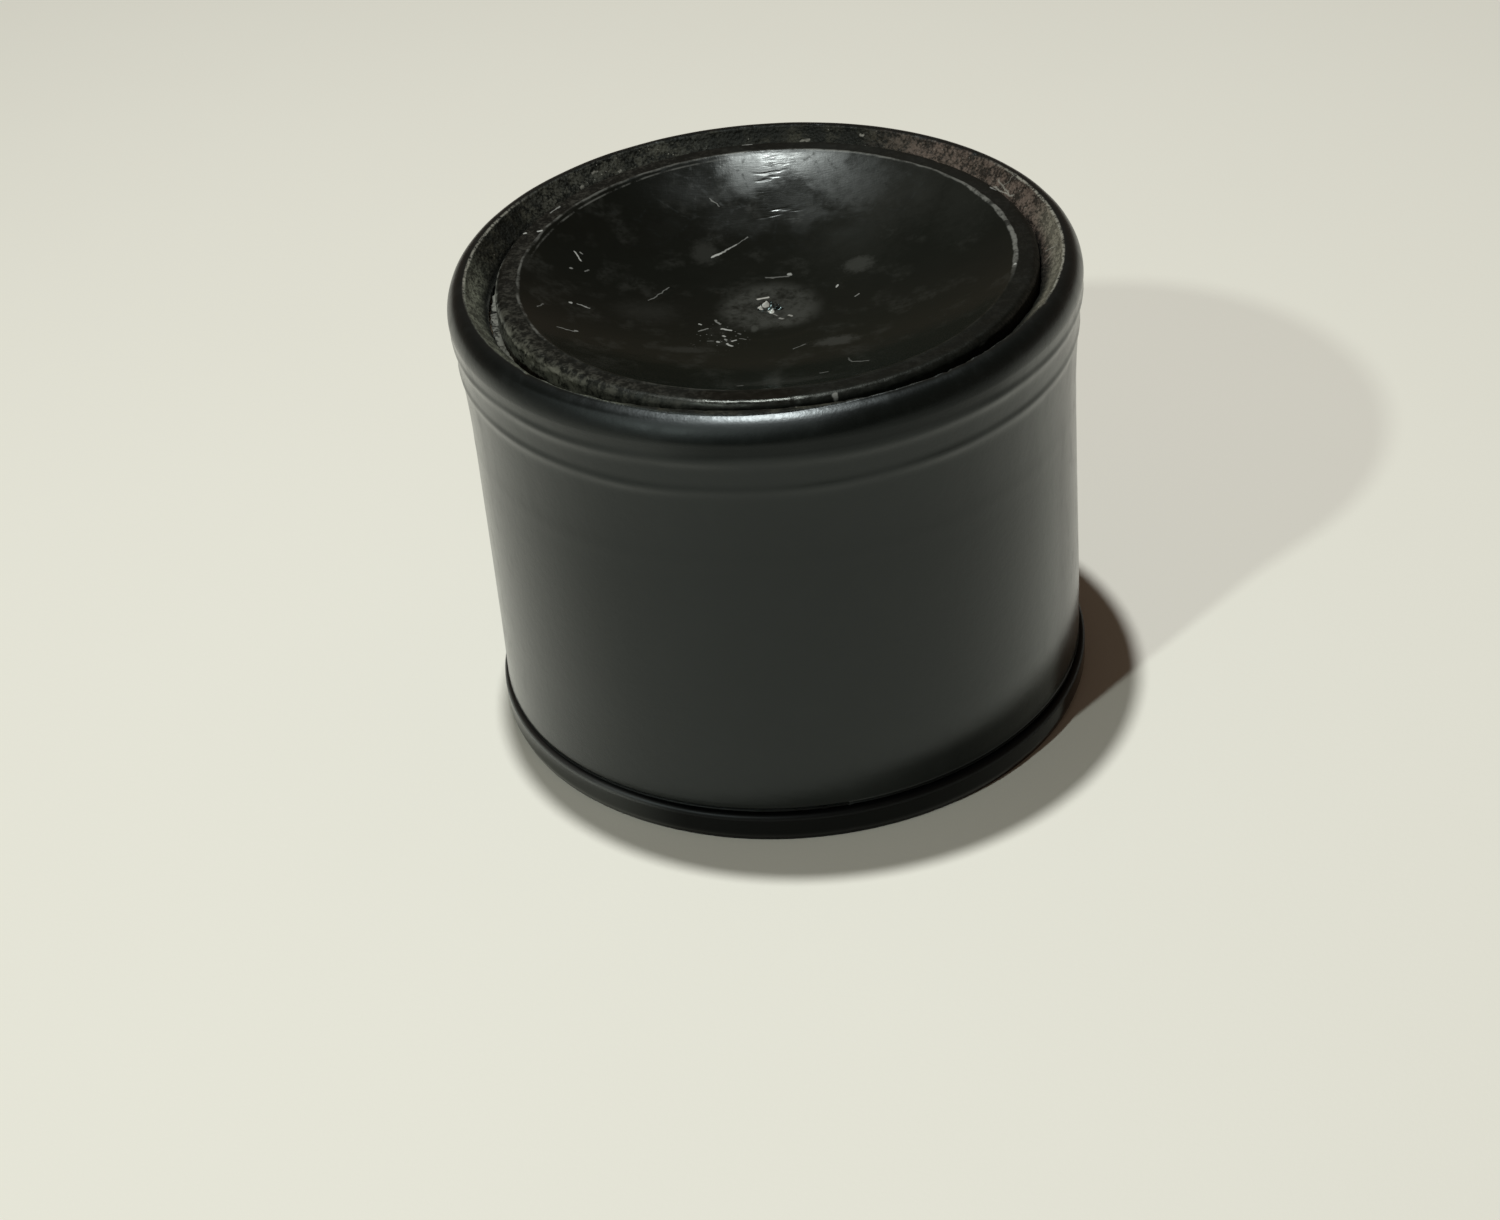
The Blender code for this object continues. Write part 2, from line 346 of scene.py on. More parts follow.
class Paint:
    """A node material with short names for its parts. Places are in mm."""

    WANDER = 0.7  # how far scratches stray, mm

    def __init__(self, name, centre=(0.0, 0.0)):
        """Radius and angle are measured from centre."""
        self.mat = bpy.data.materials.new(name)
        self.mat.use_nodes = True
        self.tree = self.mat.node_tree
        self.tree.nodes.clear()
        self.centre = centre
        output = self.node("ShaderNodeOutputMaterial")
        self.bsdf = self.node("ShaderNodeBsdfPrincipled")
        self.tree.links.new(self.bsdf.outputs[0], output.inputs[0])
        where = Wire(self, self.node("ShaderNodeTexCoord").outputs["Object"])
        self.place = self.vec("SCALE", where, scale=1000.0)

    def node(self, kind, inputs=None, **settings):
        made = self.tree.nodes.new(kind)
        for name, value in settings.items():
            setattr(made, name, value)
        for key, value in (inputs or {}).items():
            self.put(made.inputs[key], value)
        return made

    def put(self, socket, value):
        if isinstance(value, Wire):
            self.tree.links.new(value.socket, socket)
        elif socket.type == "RGBA":
            socket.default_value = (*value, 1.0)
        else:
            socket.default_value = value

    @cached_property
    def xyz(self):
        node = self.node("ShaderNodeSeparateXYZ", {0: self.place})
        return [Wire(self, socket) for socket in node.outputs]

    x = property(lambda self: self.xyz[0])
    y = property(lambda self: self.xyz[1])
    z = property(lambda self: self.xyz[2])

    @cached_property
    def off_centre(self):
        return self.x - self.centre[0], self.y - self.centre[1]

    @cached_property
    def radius(self):
        x, y = self.off_centre
        return self.op("SQRT", x * x + y * y)

    @cached_property
    def angle(self):
        x, y = self.off_centre
        return self.op("ARCTAN2", y, x) * 57.29578

    @cached_property
    def above(self):
        """The place seen from above, wandering a little."""
        flat = Wire(self, self.node("ShaderNodeCombineXYZ", {0: self.x, 1: self.y}).outputs[0])
        stray = self.vec("SUBTRACT", self.noise(scale=0.9, out="Color"), (0.5, 0.5, 0.5))
        stray = self.vec("MULTIPLY", stray, (self.WANDER, self.WANDER, 0.0))
        return self.vec("ADD", flat, stray)

    def vec(self, operation, a, b=None, scale=None):
        given = {0: a, 1: b, "Scale": scale}
        inputs = {key: value for key, value in given.items() if value is not None}
        node = self.node("ShaderNodeVectorMath", inputs, operation=operation)
        out = "Value" if operation in ("DOT_PRODUCT", "DISTANCE") else "Vector"
        return Wire(self, node.outputs[out])

    def op(self, operation, *values, clamp=False):
        inputs = dict(enumerate(values))
        node = self.node("ShaderNodeMath", inputs, operation=operation, use_clamp=clamp)
        return Wire(self, node.outputs[0])

    def most(self, first, *others):
        """The greatest of several values."""
        for value in others:
            first = self.op("MAXIMUM", first, value)
        return first

    def sector(self, centre, half, soft):
        """1 within half degrees of an angle, falling to 0 over soft degrees more."""
        off = self.op("WRAP", self.angle - centre, 180.0, -180.0)
        return abs(off).within(half, soft)

    def stretch(self, x, y, z, shift=(0, 0, 0)):
        inputs = {"Vector": self.place, "Scale": (x, y, z), "Location": shift}
        return Wire(self, self.node("ShaderNodeMapping", inputs).outputs[0])

    def noise(self, scale=1.0, detail=2.0, rough=0.5, distort=0.0, at=None, out="Fac"):
        inputs = {"Vector": at or self.place, "Scale": scale, "Detail": detail}
        inputs.update({"Roughness": rough, "Distortion": distort})
        return Wire(self, self.node("ShaderNodeTexNoise", inputs).outputs[out])

    def cells(self, scale, at=None, feature="F1"):
        inputs = {"Vector": at or self.place, "Scale": scale}
        node = self.node("ShaderNodeTexVoronoi", inputs, feature=feature)
        return Wire(self, node.outputs["Distance"])

    def mix(self, share, a, b):
        inputs = {"Factor": share, 6: a, 7: b}
        return Wire(self, self.node("ShaderNodeMix", inputs, data_type="RGBA").outputs[2])

    def coat(self, base, *coats):
        """Lay colours over base in turn, each given as (share, colour)."""
        for share, colour in coats:
            base = self.mix(share, base, colour)
        return base

    def bump(self, height, distance, over=None):
        """height in 0..1, distance in metres."""
        inputs = {"Strength": 1.0, "Distance": distance, "Height": height}
        if over is not None:
            inputs["Normal"] = over
        return Wire(self, self.node("ShaderNodeBump", inputs).outputs[0])

    def scratch(self, ax, ay, bx, by, half_width, soft):
        """1 on a line from (ax, ay) to (bx, by), seen from above."""
        dx, dy = bx - ax, by - ay
        length2 = dx * dx + dy * dy
        off = self.vec("SUBTRACT", self.above, (ax, ay, 0.0))
        along = self.vec("DOT_PRODUCT", off, (dx / length2, dy / length2, 0.0))
        along = self.op("ADD", along, 0.0, clamp=True)
        nearest = self.vec("SCALE", (dx, dy, 0.0), scale=along)
        return self.vec("DISTANCE", off, nearest).within(half_width, soft)

    def scratches(self, rows):
        """The strongest of a table of scratches."""
        return self.most(*[faded(self.scratch(*row[:-1]), row[-1]) for row in rows])

    def finish(self, **values):
        for name, value in values.items():
            self.put(self.bsdf.inputs[name.replace("_", " ")], value)
        return self.mat


def faded(value, strength):
    return value * strength if strength < 1 else value


# ---- Leather sleeve ----

sleeve_noise = Noise(11)
fine_noise = Noise(23)


def wall_r(z):
    if z < TUCK_Z:
        return WALL_R - HEM_TUCK * ((TUCK_Z - z) / (TUCK_Z - HEM_Z)) ** 1.7
    if z <= FLARE_Z:
        return WALL_R
    return WALL_R + (RIM_WIDE_R - WALL_R) * ((z - FLARE_Z) / (RIM_WIDE_Z - FLARE_Z)) ** 2


CORD_CENTRE_R = wall_r(CORD_Z) - LEATHER_T - CORD_GAP - CORD_R


def slope_profile():
    """From the foot of the slope inside the rim up to the crest."""
    crest = arc(CREST_R, HEIGHT - CREST_ROUND, CREST_ROUND, CREST_ROUND, 90 + SLOPE, 90, 9)
    top_r, top_z = crest[0]
    foot_z = top_z - (top_r - SLOPE_FOOT_R) * math.tan(math.radians(SLOPE))
    rows = [
        (TURN_IN_R, foot_z - 1.5),
        (TURN_IN_R + 0.07, foot_z - 1.2),
        (TURN_IN_R + 0.22, foot_z - 0.88),
        (SLOPE_FOOT_R - 0.24, foot_z - 0.4),
    ]
    for k in range(16):
        radius = SLOPE_FOOT_R + (top_r - SLOPE_FOOT_R) * k / 16
        rows.append((radius, foot_z + (top_z - foot_z) * k / 16))
    return rows + crest[:-1]


def sleeve_profile():
    # the bead, down the outside, round the hem
    points = arc(CREST_R, RIM_WIDE_Z, RIM_WIDE_R - CREST_R, HEIGHT - RIM_WIDE_Z, 90, 0, 26)
    z = RIM_WIDE_Z
    while z > HEM_Z + HEM_ROUND + 0.3:
        z -= 0.22 if z > 56.5 else 0.75
        points.append((wall_r(z), z))
    hem_z = HEM_Z + HEM_ROUND
    points += arc(wall_r(hem_z) - HEM_ROUND, hem_z, HEM_ROUND, HEM_ROUND, 0, -90, 6)
    # up the inside, over the cord, down to the turned-in edge
    points.append((WALL_R - LEATHER_T, HEM_Z))
    for i in range(9):
        z = HEM_Z + 3 + (CORD_Z - HEM_Z - 3) * i / 9
        points.append((wall_r(z) - LEATHER_T, z))
    pocket = CORD_R + CORD_GAP
    points += arc(CORD_CENTRE_R, CORD_Z, pocket, pocket, 0, 90 + SLOPE, 9)
    leg_r = TURN_IN_R + SKIVED_T
    back_r, back_z = points[-1]
    points.append((leg_r, back_z - (back_r - leg_r) * math.tan(math.radians(SLOPE))))
    points += [(leg_r, 64.0), (leg_r, TURN_IN_Z)]
    points += [(TURN_IN_R, z) for z in (TURN_IN_Z, 62.0, 64.0, 65.2)]
    return points + slope_profile()


def ridge(z, centre, height):
    """A low ridge: a short steep bank above its crest and a longer soft one below."""
    off = z - centre
    above = np.exp(-np.square(np.maximum(off, 0) / 0.55))
    below = np.exp(-np.square(np.minimum(off, 0) / 0.95))
    return height * np.where(off > 0, above, below)


def soft_bead(tilt):
    """(radius, height) on the slack bead where its surface is tilted by so many degrees."""
    radius = np.full_like(tilt, SOFT_CREST_R)
    z = np.full_like(tilt, HEIGHT)
    start = 0.0
    for end, curve in SOFT_BEAD:
        from_tilt = math.radians(start)
        to_tilt = np.radians(np.clip(tilt, start, end))
        radius = radius + curve * (np.sin(to_tilt) - math.sin(from_tilt))
        z = z - curve * (math.cos(from_tilt) - np.cos(to_tilt))
        start = end
    return radius, z


def slack_shift(z, radius, angle, face_out, outside):
    """At the front the fold is slack: the bead is broader and its crest lies further in."""
    slack = near_angle(angle, -98, 42)
    bead_r, bead_z = RIM_WIDE_R - CREST_R, HEIGHT - RIM_WIDE_Z
    bead = (z >= RIM_WIDE_Z - 1e-6) & (face_out > -0.02) & (radius >= CREST_R - 1e-6)
    turn = np.arctan2((z - RIM_WIDE_Z) / bead_z, (radius - CREST_R) / bead_r)
    tilt = np.degrees(np.arctan2(np.cos(turn) / bead_r, np.sin(turn) / bead_z))
    soft_r, soft_z = soft_bead(np.clip(tilt, 0, 90))
    out = bead * slack * (soft_r - radius)
    up = bead * slack * (soft_z - z)
    # the wall just below follows the bead's end
    below = (z < RIM_WIDE_Z - 1e-6) & (z > 63.0) & (outside > 0.5)
    follow = below * slack * ease(z, 63.0, RIM_WIDE_Z)
    end_r, end_z = soft_bead(np.array(90.0))
    out = out + follow * (float(end_r) - RIM_WIDE_R)
    up = up + follow * (float(end_z) - RIM_WIDE_Z)
    # and so does the slope inside
    inner = (face_out <= -0.02) & (z > 66.5) & (radius >= SLOPE_FOOT_R) & (radius < CREST_R)
    share = np.clip((radius - SLOPE_FOOT_R) / (CREST_R - SLOPE_FOOT_R), 0, 1)
    return out + inner * slack * (SOFT_CREST_R - CREST_R) * share, up


def sleeve_shape(x, y, z, radius, angle, face_out, face_up):
    outside = ease(face_out, -0.2, 0.3) * (radius > CREST_R - 0.5)
    waves = 0.05 * sleeve_noise(x / 31, y / 31, z / 40)
    push = outside * (waves + 0.018 * sleeve_noise(x / 11, y / 11, z / 15 + 4))
    # long soft draws running up the wall to the rim
    draws = sleeve_noise.around(angle, 15, z / 22) * ease(z, 34, 58) * (1 - ease(z, 65, 68))
    push += outside * 0.018 * draws
    # a faint shoulder where the wall begins to swell
    push += outside * 0.03 * hump(z, 47.3, 1.3)
    for centre, height in RIDGES:
        stray = sleeve_noise(np.cos(angle) * 2.4 + centre, np.sin(angle) * 2.4, 0)
        vary = 1 + 0.45 * sleeve_noise.around(angle, 4.5, centre)
        push += outside * ridge(z, centre + 0.16 * stray, height * vary)
    # the rolled rim: soft lumps, and a slope that is rough, dented and nicked
    rim = ease(z, 66, 68.5) * (face_up > -0.2)
    push += rim * 0.03 * sleeve_noise(x / 6, y / 6, z / 5)
    slope = ease(-face_out, 0.05, 0.5) * ease(z, 65.0, 66.0) * ease(radius, 39.4, 39.6)
    dents = 0.13 * fine_noise.fractal(x / 2.4, y / 2.4, z / 1.8, octaves=3)
    push += slope * (dents + 0.07 * fine_noise(x / 0.7, y / 0.7, z / 0.7))
    crest = hump(radius, CREST_R - 0.25, 0.5) * ease(z, 69.0, 69.8)
    push -= crest * np.maximum(fine_noise.around(angle, 34, 2.0) - 0.42, 0) * 0.7
    # the hem draws in at the front right and stands out a little at the front left
    draw_in = 0.05 + 0.38 * near_angle(angle, -50, 55)
    draw_in = draw_in - 0.28 * near_angle(angle, -150, 60) + 0.15 * near_angle(angle, 60, 80)
    draw_in = draw_in * np.clip((HEM_DRAW_Z - z) / (HEM_DRAW_Z - HEM_Z), 0, 1) ** 1.5
    base_tuck = HEM_TUCK * np.clip((TUCK_Z - z) / (TUCK_Z - HEM_Z), 0, 1) ** 1.7
    out = outside * (base_tuck - draw_in) * (z < HEM_DRAW_Z)
    slack_out, up = slack_shift(z, radius, angle, face_out, outside)
    # the slope comes in closer to the disc except at the left
    shut = 0.62 * (1 - near_angle(angle, 184, 42))
    shut = shut * (0.75 + 0.5 * fine_noise.around(angle, 5, 3.0))
    reach = 1 - ease(radius, SLOPE_FOOT_R - 0.2, 42.0)
    reach = reach * ease(radius, TURN_IN_R + 0.02, TURN_IN_R + 0.45)
    return Shift(push, out=out + slack_out - shut * slope * reach, up=up)


# Tables of scratches: start x, start y, end x, end y, half width, softness, strength
RIM_SCRATCHES = [
    (7.3, 40, 8.6, 40, 0.04, 0.16, 0.6), (14.4, 37.8, 15.6, 37.4, 0.02, 0.16, 0.55),
    (16.4, 38.3, 16.9, 38.2, 0.06, 0.16, 0.7), (25.3, 31, 26.9, 29.8, 0.02, 0.14, 0.5),
    (34.9, 20, 37.4, 16.2, 0.02, 0.13, 0.75), (35.7, 20.6, 36.9, 16.9, 0.01, 0.12, 0.6),
    (36, 19, 38.3, 19.2, 0.01, 0.12, 0.45), (40.3, -0.6, 41.8, -1.9, 0.02, 0.13, 0.5),
    (39.6, -3.4, 41.4, -2.6, 0.01, 0.12, 0.5), (-20.6, 34.9, -20.3, 35.3, 0.06, 0.16, 0.6),
    (-26.5, 30.7, -26, 31.1, 0.06, 0.18, 0.5), (-24.6, 33.4, -23.8, 33.9, 0.03, 0.16, 0.5),
]


def leather_dust_and_shade(paint, speck):
    """The dull dusty colour of the slope inside the rim, with painted shade deep down beside the
    disc.
    """
    dust = paint.noise(scale=0.55, detail=4, rough=0.62)
    patch = (dust * 0.6 + speck * 0.4).ramp(0.42, to=0.60)
    broad_patch = patch * paint.noise(scale=0.3).ramp(0.35, to=0.65)
    right_back = paint.sector(25, half=23, soft=20)
    right = paint.sector(-9, half=14, soft=12) * paint.radius.ramp(40, to=41.6)
    back_left = paint.sector(122, half=16, soft=14)
    front_left = paint.sector(-154, half=24, soft=18)
    tone = paint.coat(
        (0.0022, 0.0024, 0.0017),
        (broad_patch, (0.0240, 0.0228, 0.0158)),
        (right_back * (0.15 + patch * 0.85), (0.104, 0.078, 0.062)),
        (right * (0.45 + patch * 0.5), (0.165, 0.154, 0.117)),
        (back_left * patch * 0.45, (0.060, 0.060, 0.048)),
        (front_left * (0.30 + patch * 0.70), (0.128, 0.134, 0.100)),
    )
    # darker deep down beside the disc: partly less dust there, partly painted shade where the groove
    # lies in shadow
    return paint.mix(paint.z.ramp(66.4, to=68.2), (0.004, 0.004, 0.0035), tone)


def leather_paint():
    paint = Paint("leather_satin_black")
    z, radius = paint.z, paint.radius
    broad = paint.noise(scale=0.09, detail=3, rough=0.55)
    cloud = paint.noise(scale=0.45, detail=3, rough=0.6)
    grain = paint.noise(scale=3.4, detail=3, rough=0.6)
    speck = paint.noise(scale=2.2, detail=3, rough=0.6)
    inside = radius.ramp(42.75, to=42.25) * z.ramp(65.4, to=67)
    base = paint.mix(broad, (0.0012, 0.0024, 0.0022), (0.0026, 0.0042, 0.0038))
    base = paint.mix(inside, base, leather_dust_and_shade(paint, speck))
    # the rubbed line along the crest, at the right and the left
    rubbed = paint.most(
        paint.sector(4, half=20, soft=16), paint.sector(166, half=12, soft=14) * 0.8
    )
    line = radius.band(42.55, half=0.06, soft=0.20) * z.ramp(69.6, to=69.85)
    line = line * rubbed * speck.ramp(0.36, to=0.56)
    # dry pale specks and hair scratches on the rim
    grit = paint.cells(scale=1.1, at=paint.stretch(1, 1, 1, shift=(2, 7, 1))).ramp(0.15, to=0.06)
    grit = grit * paint.noise(scale=0.5).ramp(0.53, to=0.58) * z.ramp(67.4, to=68.4) * inside
    pale = paint.most(paint.scratches(RIM_SCRATCHES), grit * 0.8) * z.ramp(66.5, to=67.2)
    # dull smears on the rim and the wall
    smear = paint.noise(detail=3, rough=0.6, at=paint.stretch(0.35, 0.35, 0.16, shift=(3, 1, 8)))
    smear = smear.ramp(0.50, to=0.70) * (1 - inside)
    base = paint.coat(
        base,
        (line * 0.7, (0.30, 0.29, 0.24)),
        (pale * 0.85, (0.28, 0.27, 0.23)),
        (smear * 0.4, (0.0050, 0.0068, 0.0062)),
    )
    # rougher inside, under the hem, and on the bead, most of all at the front left
    bead = z.ramp(66, to=68) * (1 - inside)
    under = z.ramp(69.65, to=69.25) * paint.sector(-112, half=22, soft=20)
    rough = 0.20 + (cloud - 0.5) * 0.08 + (grain - 0.5) * 0.05
    rough = rough + inside * 0.42 + z.ramp(5.4, to=4.95) * 0.30
    rough = rough + smear * 0.05 + bead * (0.10 + under * 0.20)
    normal = paint.bump(paint.noise(scale=0.8, detail=3, rough=0.55), distance=0.000022)
    pores = paint.cells(scale=2.3)
    normal = paint.bump(pores * 0.45 + grain * 0.55, distance=0.000012, over=normal)
    rubble = paint.noise(scale=1.6, detail=4, rough=0.7) * 0.6 + paint.cells(scale=1.9) * 0.4
    normal = paint.bump(inside * rubble, distance=0.00032, over=normal)
    # less shine under the bead at the front, and on the hem at the front right
    dull = z.ramp(64.4, to=65.3) * z.ramp(69, to=67.6) * radius.ramp(43.2, to=43.8)
    dull = dull * paint.sector(-76, half=24, soft=14) * 0.24
    dull = dull + z.ramp(11.6, to=8.6) * paint.sector(-30, half=28, soft=26) * 0.26
    facing = Wire(paint, paint.node("ShaderNodeLayerWeight").outputs["Facing"])
    return paint.finish(
        Base_Color=base,
        Roughness=rough,
        IOR=facing.ramp(0.30, to=0.80, gives=(1.445, 1.66)),
        Normal=normal,
        Specular_IOR_Level=0.5 - (inside * 0.28 + dull),
        Specular_Tint=paint.mix(inside, (0.90, 0.97, 0.97), (0.86, 0.90, 0.80)),
    )


sleeve = turned("leather_sleeve_cover", sleeve_profile(), 512, True, sleeve_shape)
stand_in(sleeve, "leather_sleeve", leather_paint())


# ---- Base disc ----

disc_noise = Noise(5)
grit_noise = Noise(77)

GATE_SPLINTERS = (  # x and y from the gate, width, height
    (-0.1, 0.9, 0.34, 0.40), (-0.95, -0.1, 0.30, 0.34), (0.6, -1.15, 0.36, 0.34),
)
DISH_GROOVES = (  # start x, start y, end x, end y, depth
    (-7.3, 14.8, -1.9, 19.1, 0.05), (-17.2, 2.3, -13.8, 6.8, 0.06),
    (-7.1, 27.2, -5.8, 25.8, 0.03),
)


def dish_z(radius):
    return DISH_FLOOR_Z + (LAND_Z - DISH_FLOOR_Z) * (radius / DISH_R) ** DISH_POWER


def dish_under_z(radius):
    return DISH_FLOOR_Z - DISH_T + (dish_z(radius) - DISH_FLOOR_Z) * 0.9


def disc_profile():
    # the dish, finer near the gate
    radii = [0.12 * i for i in range(1, 26)]
    while radii[-1] < DISH_R - 0.4:
        radii.append(radii[-1] + 0.36)
    radii[-1] = DISH_R
    points = [(radius, dish_z(radius)) for radius in radii]
    # a fine raised line, then the land and its rounded edge
    points += [(DISH_R + 0.12, LAND_Z + 0.045), (DISH_R + 0.25, LAND_Z + 0.05)]
    points += [(DISH_R + 0.4, LAND_Z + 0.03), (DISH_R + 0.6, LAND_Z)]
    radius = DISH_R + 0.6
    while radius < DISC_R - DISC_EDGE_ROUND - 0.3:
        radius += 0.2
        points.append((radius, LAND_Z))
    z = LAND_Z - DISC_EDGE_ROUND
    points += arc(DISC_R - DISC_EDGE_ROUND, z, DISC_EDGE_ROUND, DISC_EDGE_ROUND, 90, 0, 14)
    while z > GROOVE_FLOOR_Z + 0.6:
        z -= 0.22
        points.append((DISC_R, z))
    # the groove, the skirt and the underside
    points += [(DISC_R, GROOVE_FLOOR_Z + 0.2), (DISC_R + 0.1, GROOVE_FLOOR_Z + 0.05)]
    points += [(DISC_R + 0.3, GROOVE_FLOOR_Z), (SKIRT_R - 0.06, GROOVE_FLOOR_Z)]
    points += [(SKIRT_R, z) for z in (GROOVE_FLOOR_Z - 0.12, 63.5, 62.0, SKIRT_Z)]
    points += [(SKIRT_R - SKIRT_T / 2, SKIRT_Z), (SKIRT_R - SKIRT_T, SKIRT_Z)]
    points += [(SKIRT_R - SKIRT_T, 63.5), (SKIRT_R - 2.2, dish_under_z(DISH_R) - 0.8)]
    for i in range(24, 0, -1):
        points.append((DISH_R * i / 24, dish_under_z(DISH_R * i / 24)))
    return points


def gate_push(x, y):
    """The scar at the gate: a ragged ring round a hole, splinters and a slot."""
    gate_x, gate_y = x - GATE_X, y - GATE_Y
    away = np.sqrt(gate_x * gate_x + gate_y * gate_y)
    ragged = 1 + 0.5 * grit_noise(gate_x * 1.1, gate_y * 1.1, 1)
    uneven = 1 + 0.9 * grit_noise(gate_x * 2.2, gate_y * 2.2, 9)
    push = 0.16 * hump(away, 1.25 * ragged, 0.35) * uneven
    push -= 0.55 * hump(away, 0, 0.72 * ragged)
    for place_x, place_y, width, height in GATE_SPLINTERS:
        push += height * hump(gate_x, place_x, width) * hump(gate_y, place_y, width)
    return push - 0.30 * hump(gate_x, 1.35, 0.75) * hump(gate_y, -0.5, 0.32)


def groove_push(x, y, ax, ay, bx, by, depth):
    """A scratch with a raised burr."""
    dx, dy = bx - ax, by - ay
    along = np.clip(((x - ax) * dx + (y - ay) * dy) / (dx * dx + dy * dy), 0, 1)
    away = np.hypot(x - ax - along * dx, y - ay - along * dy)
    return depth * (0.6 * hump(away, 0.35, 0.18) - hump(away, 0, 0.22))


def disc_shape(x, y, z, radius, angle, face_out, face_up):
    top = (face_up > 0.2) & (z > 61)
    # slow waves, and a step down inside a circle round the gate
    push = top * 0.035 * disc_noise(x / 13, y / 13, 0)
    push += top * 0.010 * disc_noise(x / 3.1, y / 3.1, 3)
    push += top * -0.03 * ease(radius, 9.8, 9.3)
    push += top * gate_push(x, y)
    for groove in DISH_GROOVES:
        push += top * groove_push(x, y, *groove)
    # the land is knocked about, and its outer edge is chipped
    land = top * ease(radius, DISH_R + 0.3, DISH_R + 0.8)
    push += land * 0.030 * grit_noise.fractal(x / 1.7, y / 1.7, 6, octaves=3)
    edge = hump(radius, DISC_R - 0.2, 0.5) * (z > LAND_Z - 1.0)
    push -= edge * np.maximum(grit_noise.around(angle, 42, 5) - 0.3, 0) * 0.45
    side = (face_out > 0.6) & (z > GROOVE_FLOOR_Z + 0.3) & (radius < DISC_R + 0.02)
    push += side * 0.05 * grit_noise(x / 1.3, y / 1.3, z / 1.3)
    # caked dirt on the side at the front left
    cake = near_angle(angle, 212, 22) * side * (1 - ease(z, LAND_Z - 0.9, LAND_Z - 0.2))
    lumps = 0.18 + 0.42 * grit_noise.fractal(x / 1.3, y / 1.3, z / 1.1, octaves=3)
    push += cake * np.clip(lumps, -0.15, 0.6)
    # crumbs packed in the groove, thick to the left
    floor = (np.abs(z - GROOVE_FLOOR_Z) < 0.12) & (radius > DISC_R + 0.02) & (radius < SKIRT_R)
    heaps = 0.3 + 0.7 * ease(-x, 10, 34)
    crumbs = 0.55 * grit_noise(x / 1.1, y / 1.1, 2) + 0.30 * grit_noise(x / 0.45, y / 0.45, 4)
    push += floor * heaps * np.maximum(crumbs + 0.1, 0)
    # the dish's edge wanders a little
    dish_edge = ease(radius, DISH_R - 4, DISH_R - 0.3)
    dish_edge = dish_edge * (1 - ease(radius, DISH_R + 0.5, DISH_R + 2.2))
    out = top * dish_edge * 0.14 * disc_noise.around(angle, 3.1, 8)
    shift = ease(z, 61.8, 63.6) * (radius < DISC_R + 0.05) * (face_up > -0.5)
    return Shift(push, dx=DISC_DX * shift, dy=DISC_DY * shift, out=out)


DISC_SCRATCHES = [
    (-7.3, 14.7, -6, 15.7, 0.07, 0.16, 1), (-6, 15.7, -3.6, 17.6, 0.02, 0.15, 0.7),
    (-4, 17.3, -1.9, 19.1, 0.01, 0.14, 0.35), (-7.1, 27.2, -5.8, 25.8, 0.02, 0.14, 0.35),
    (-16.8, 2.9, -13.8, 6.9, 0.01, 0.14, 0.35), (-27.2, 12.4, -26.3, 10.6, 0.04, 0.15, 1),
    (-26.4, 12.6, -26.1, 12.2, 0.03, 0.12, 0.5), (-27.8, 8.1, -27.7, 8.2, 0.10, 0.16, 0.5),
    (-25.7, 8.3, -25.3, 8.7, 0.05, 0.14, 0.35), (-27.8, -1.2, -27.6, -1.2, 0.14, 0.14, 0.85),
    (-26.7, -1.1, -25.1, -1.6, 0.03, 0.14, 0.7), (-29.3, -10.4, -27, -10.6, 0.03, 0.14, 0.55),
    (-26.9, -10.2, -26.8, -10.2, 0.16, 0.14, 0.6), (-32.1, -5.4, -31.4, -3.9, 0.02, 0.14, 0.3),
    (-34.3, 14.8, -34.1, 14.8, 0.14, 0.18, 1), (-32.4, 15, -31.8, 15, 0.10, 0.18, 1),
    (-30.6, 20.6, -29.4, 22.4, 0.03, 0.16, 0.5), (-17.2, 33.7, -16, 34.2, 0.03, 0.16, 0.5),
    (-1.5, 37.6, -0.2, 37.6, 0.06, 0.18, 0.7), (34.2, 17, 34.8, 16, 0.05, 0.16, 0.6),
    (35.2, -6.9, 35.3, -6.8, 0.10, 0.16, 0.9), (10.3, 3.9, 10.6, 4.4, 0.06, 0.14, 1),
    (10.7, -20, 11.1, -22.2, 0.02, 0.16, 0.25), (11.1, -22.2, 13.3, -23.5, 0.03, 0.16, 0.45),
    (3.2, -13.4, 4.9, -12.3, 0.02, 0.14, 0.30), (12.9, 0.4, 13.3, 0.9, 0.05, 0.14, 0.5),
    (6.6, -25.3, 7.5, -25.4, 0.08, 0.22, 0.35), (-4.7, -29.3, -4.1, -29, 0.08, 0.22, 0.35),
    (3.7, 9, 3.9, 9, 0.14, 0.2, 0.7), (0.3, 8.7, 3.5, 8.6, 0.04, 0.25, 0.3),
    (7.9, -37.9, 8.1, -37.8, 0.16, 0.2, 0.5),
]
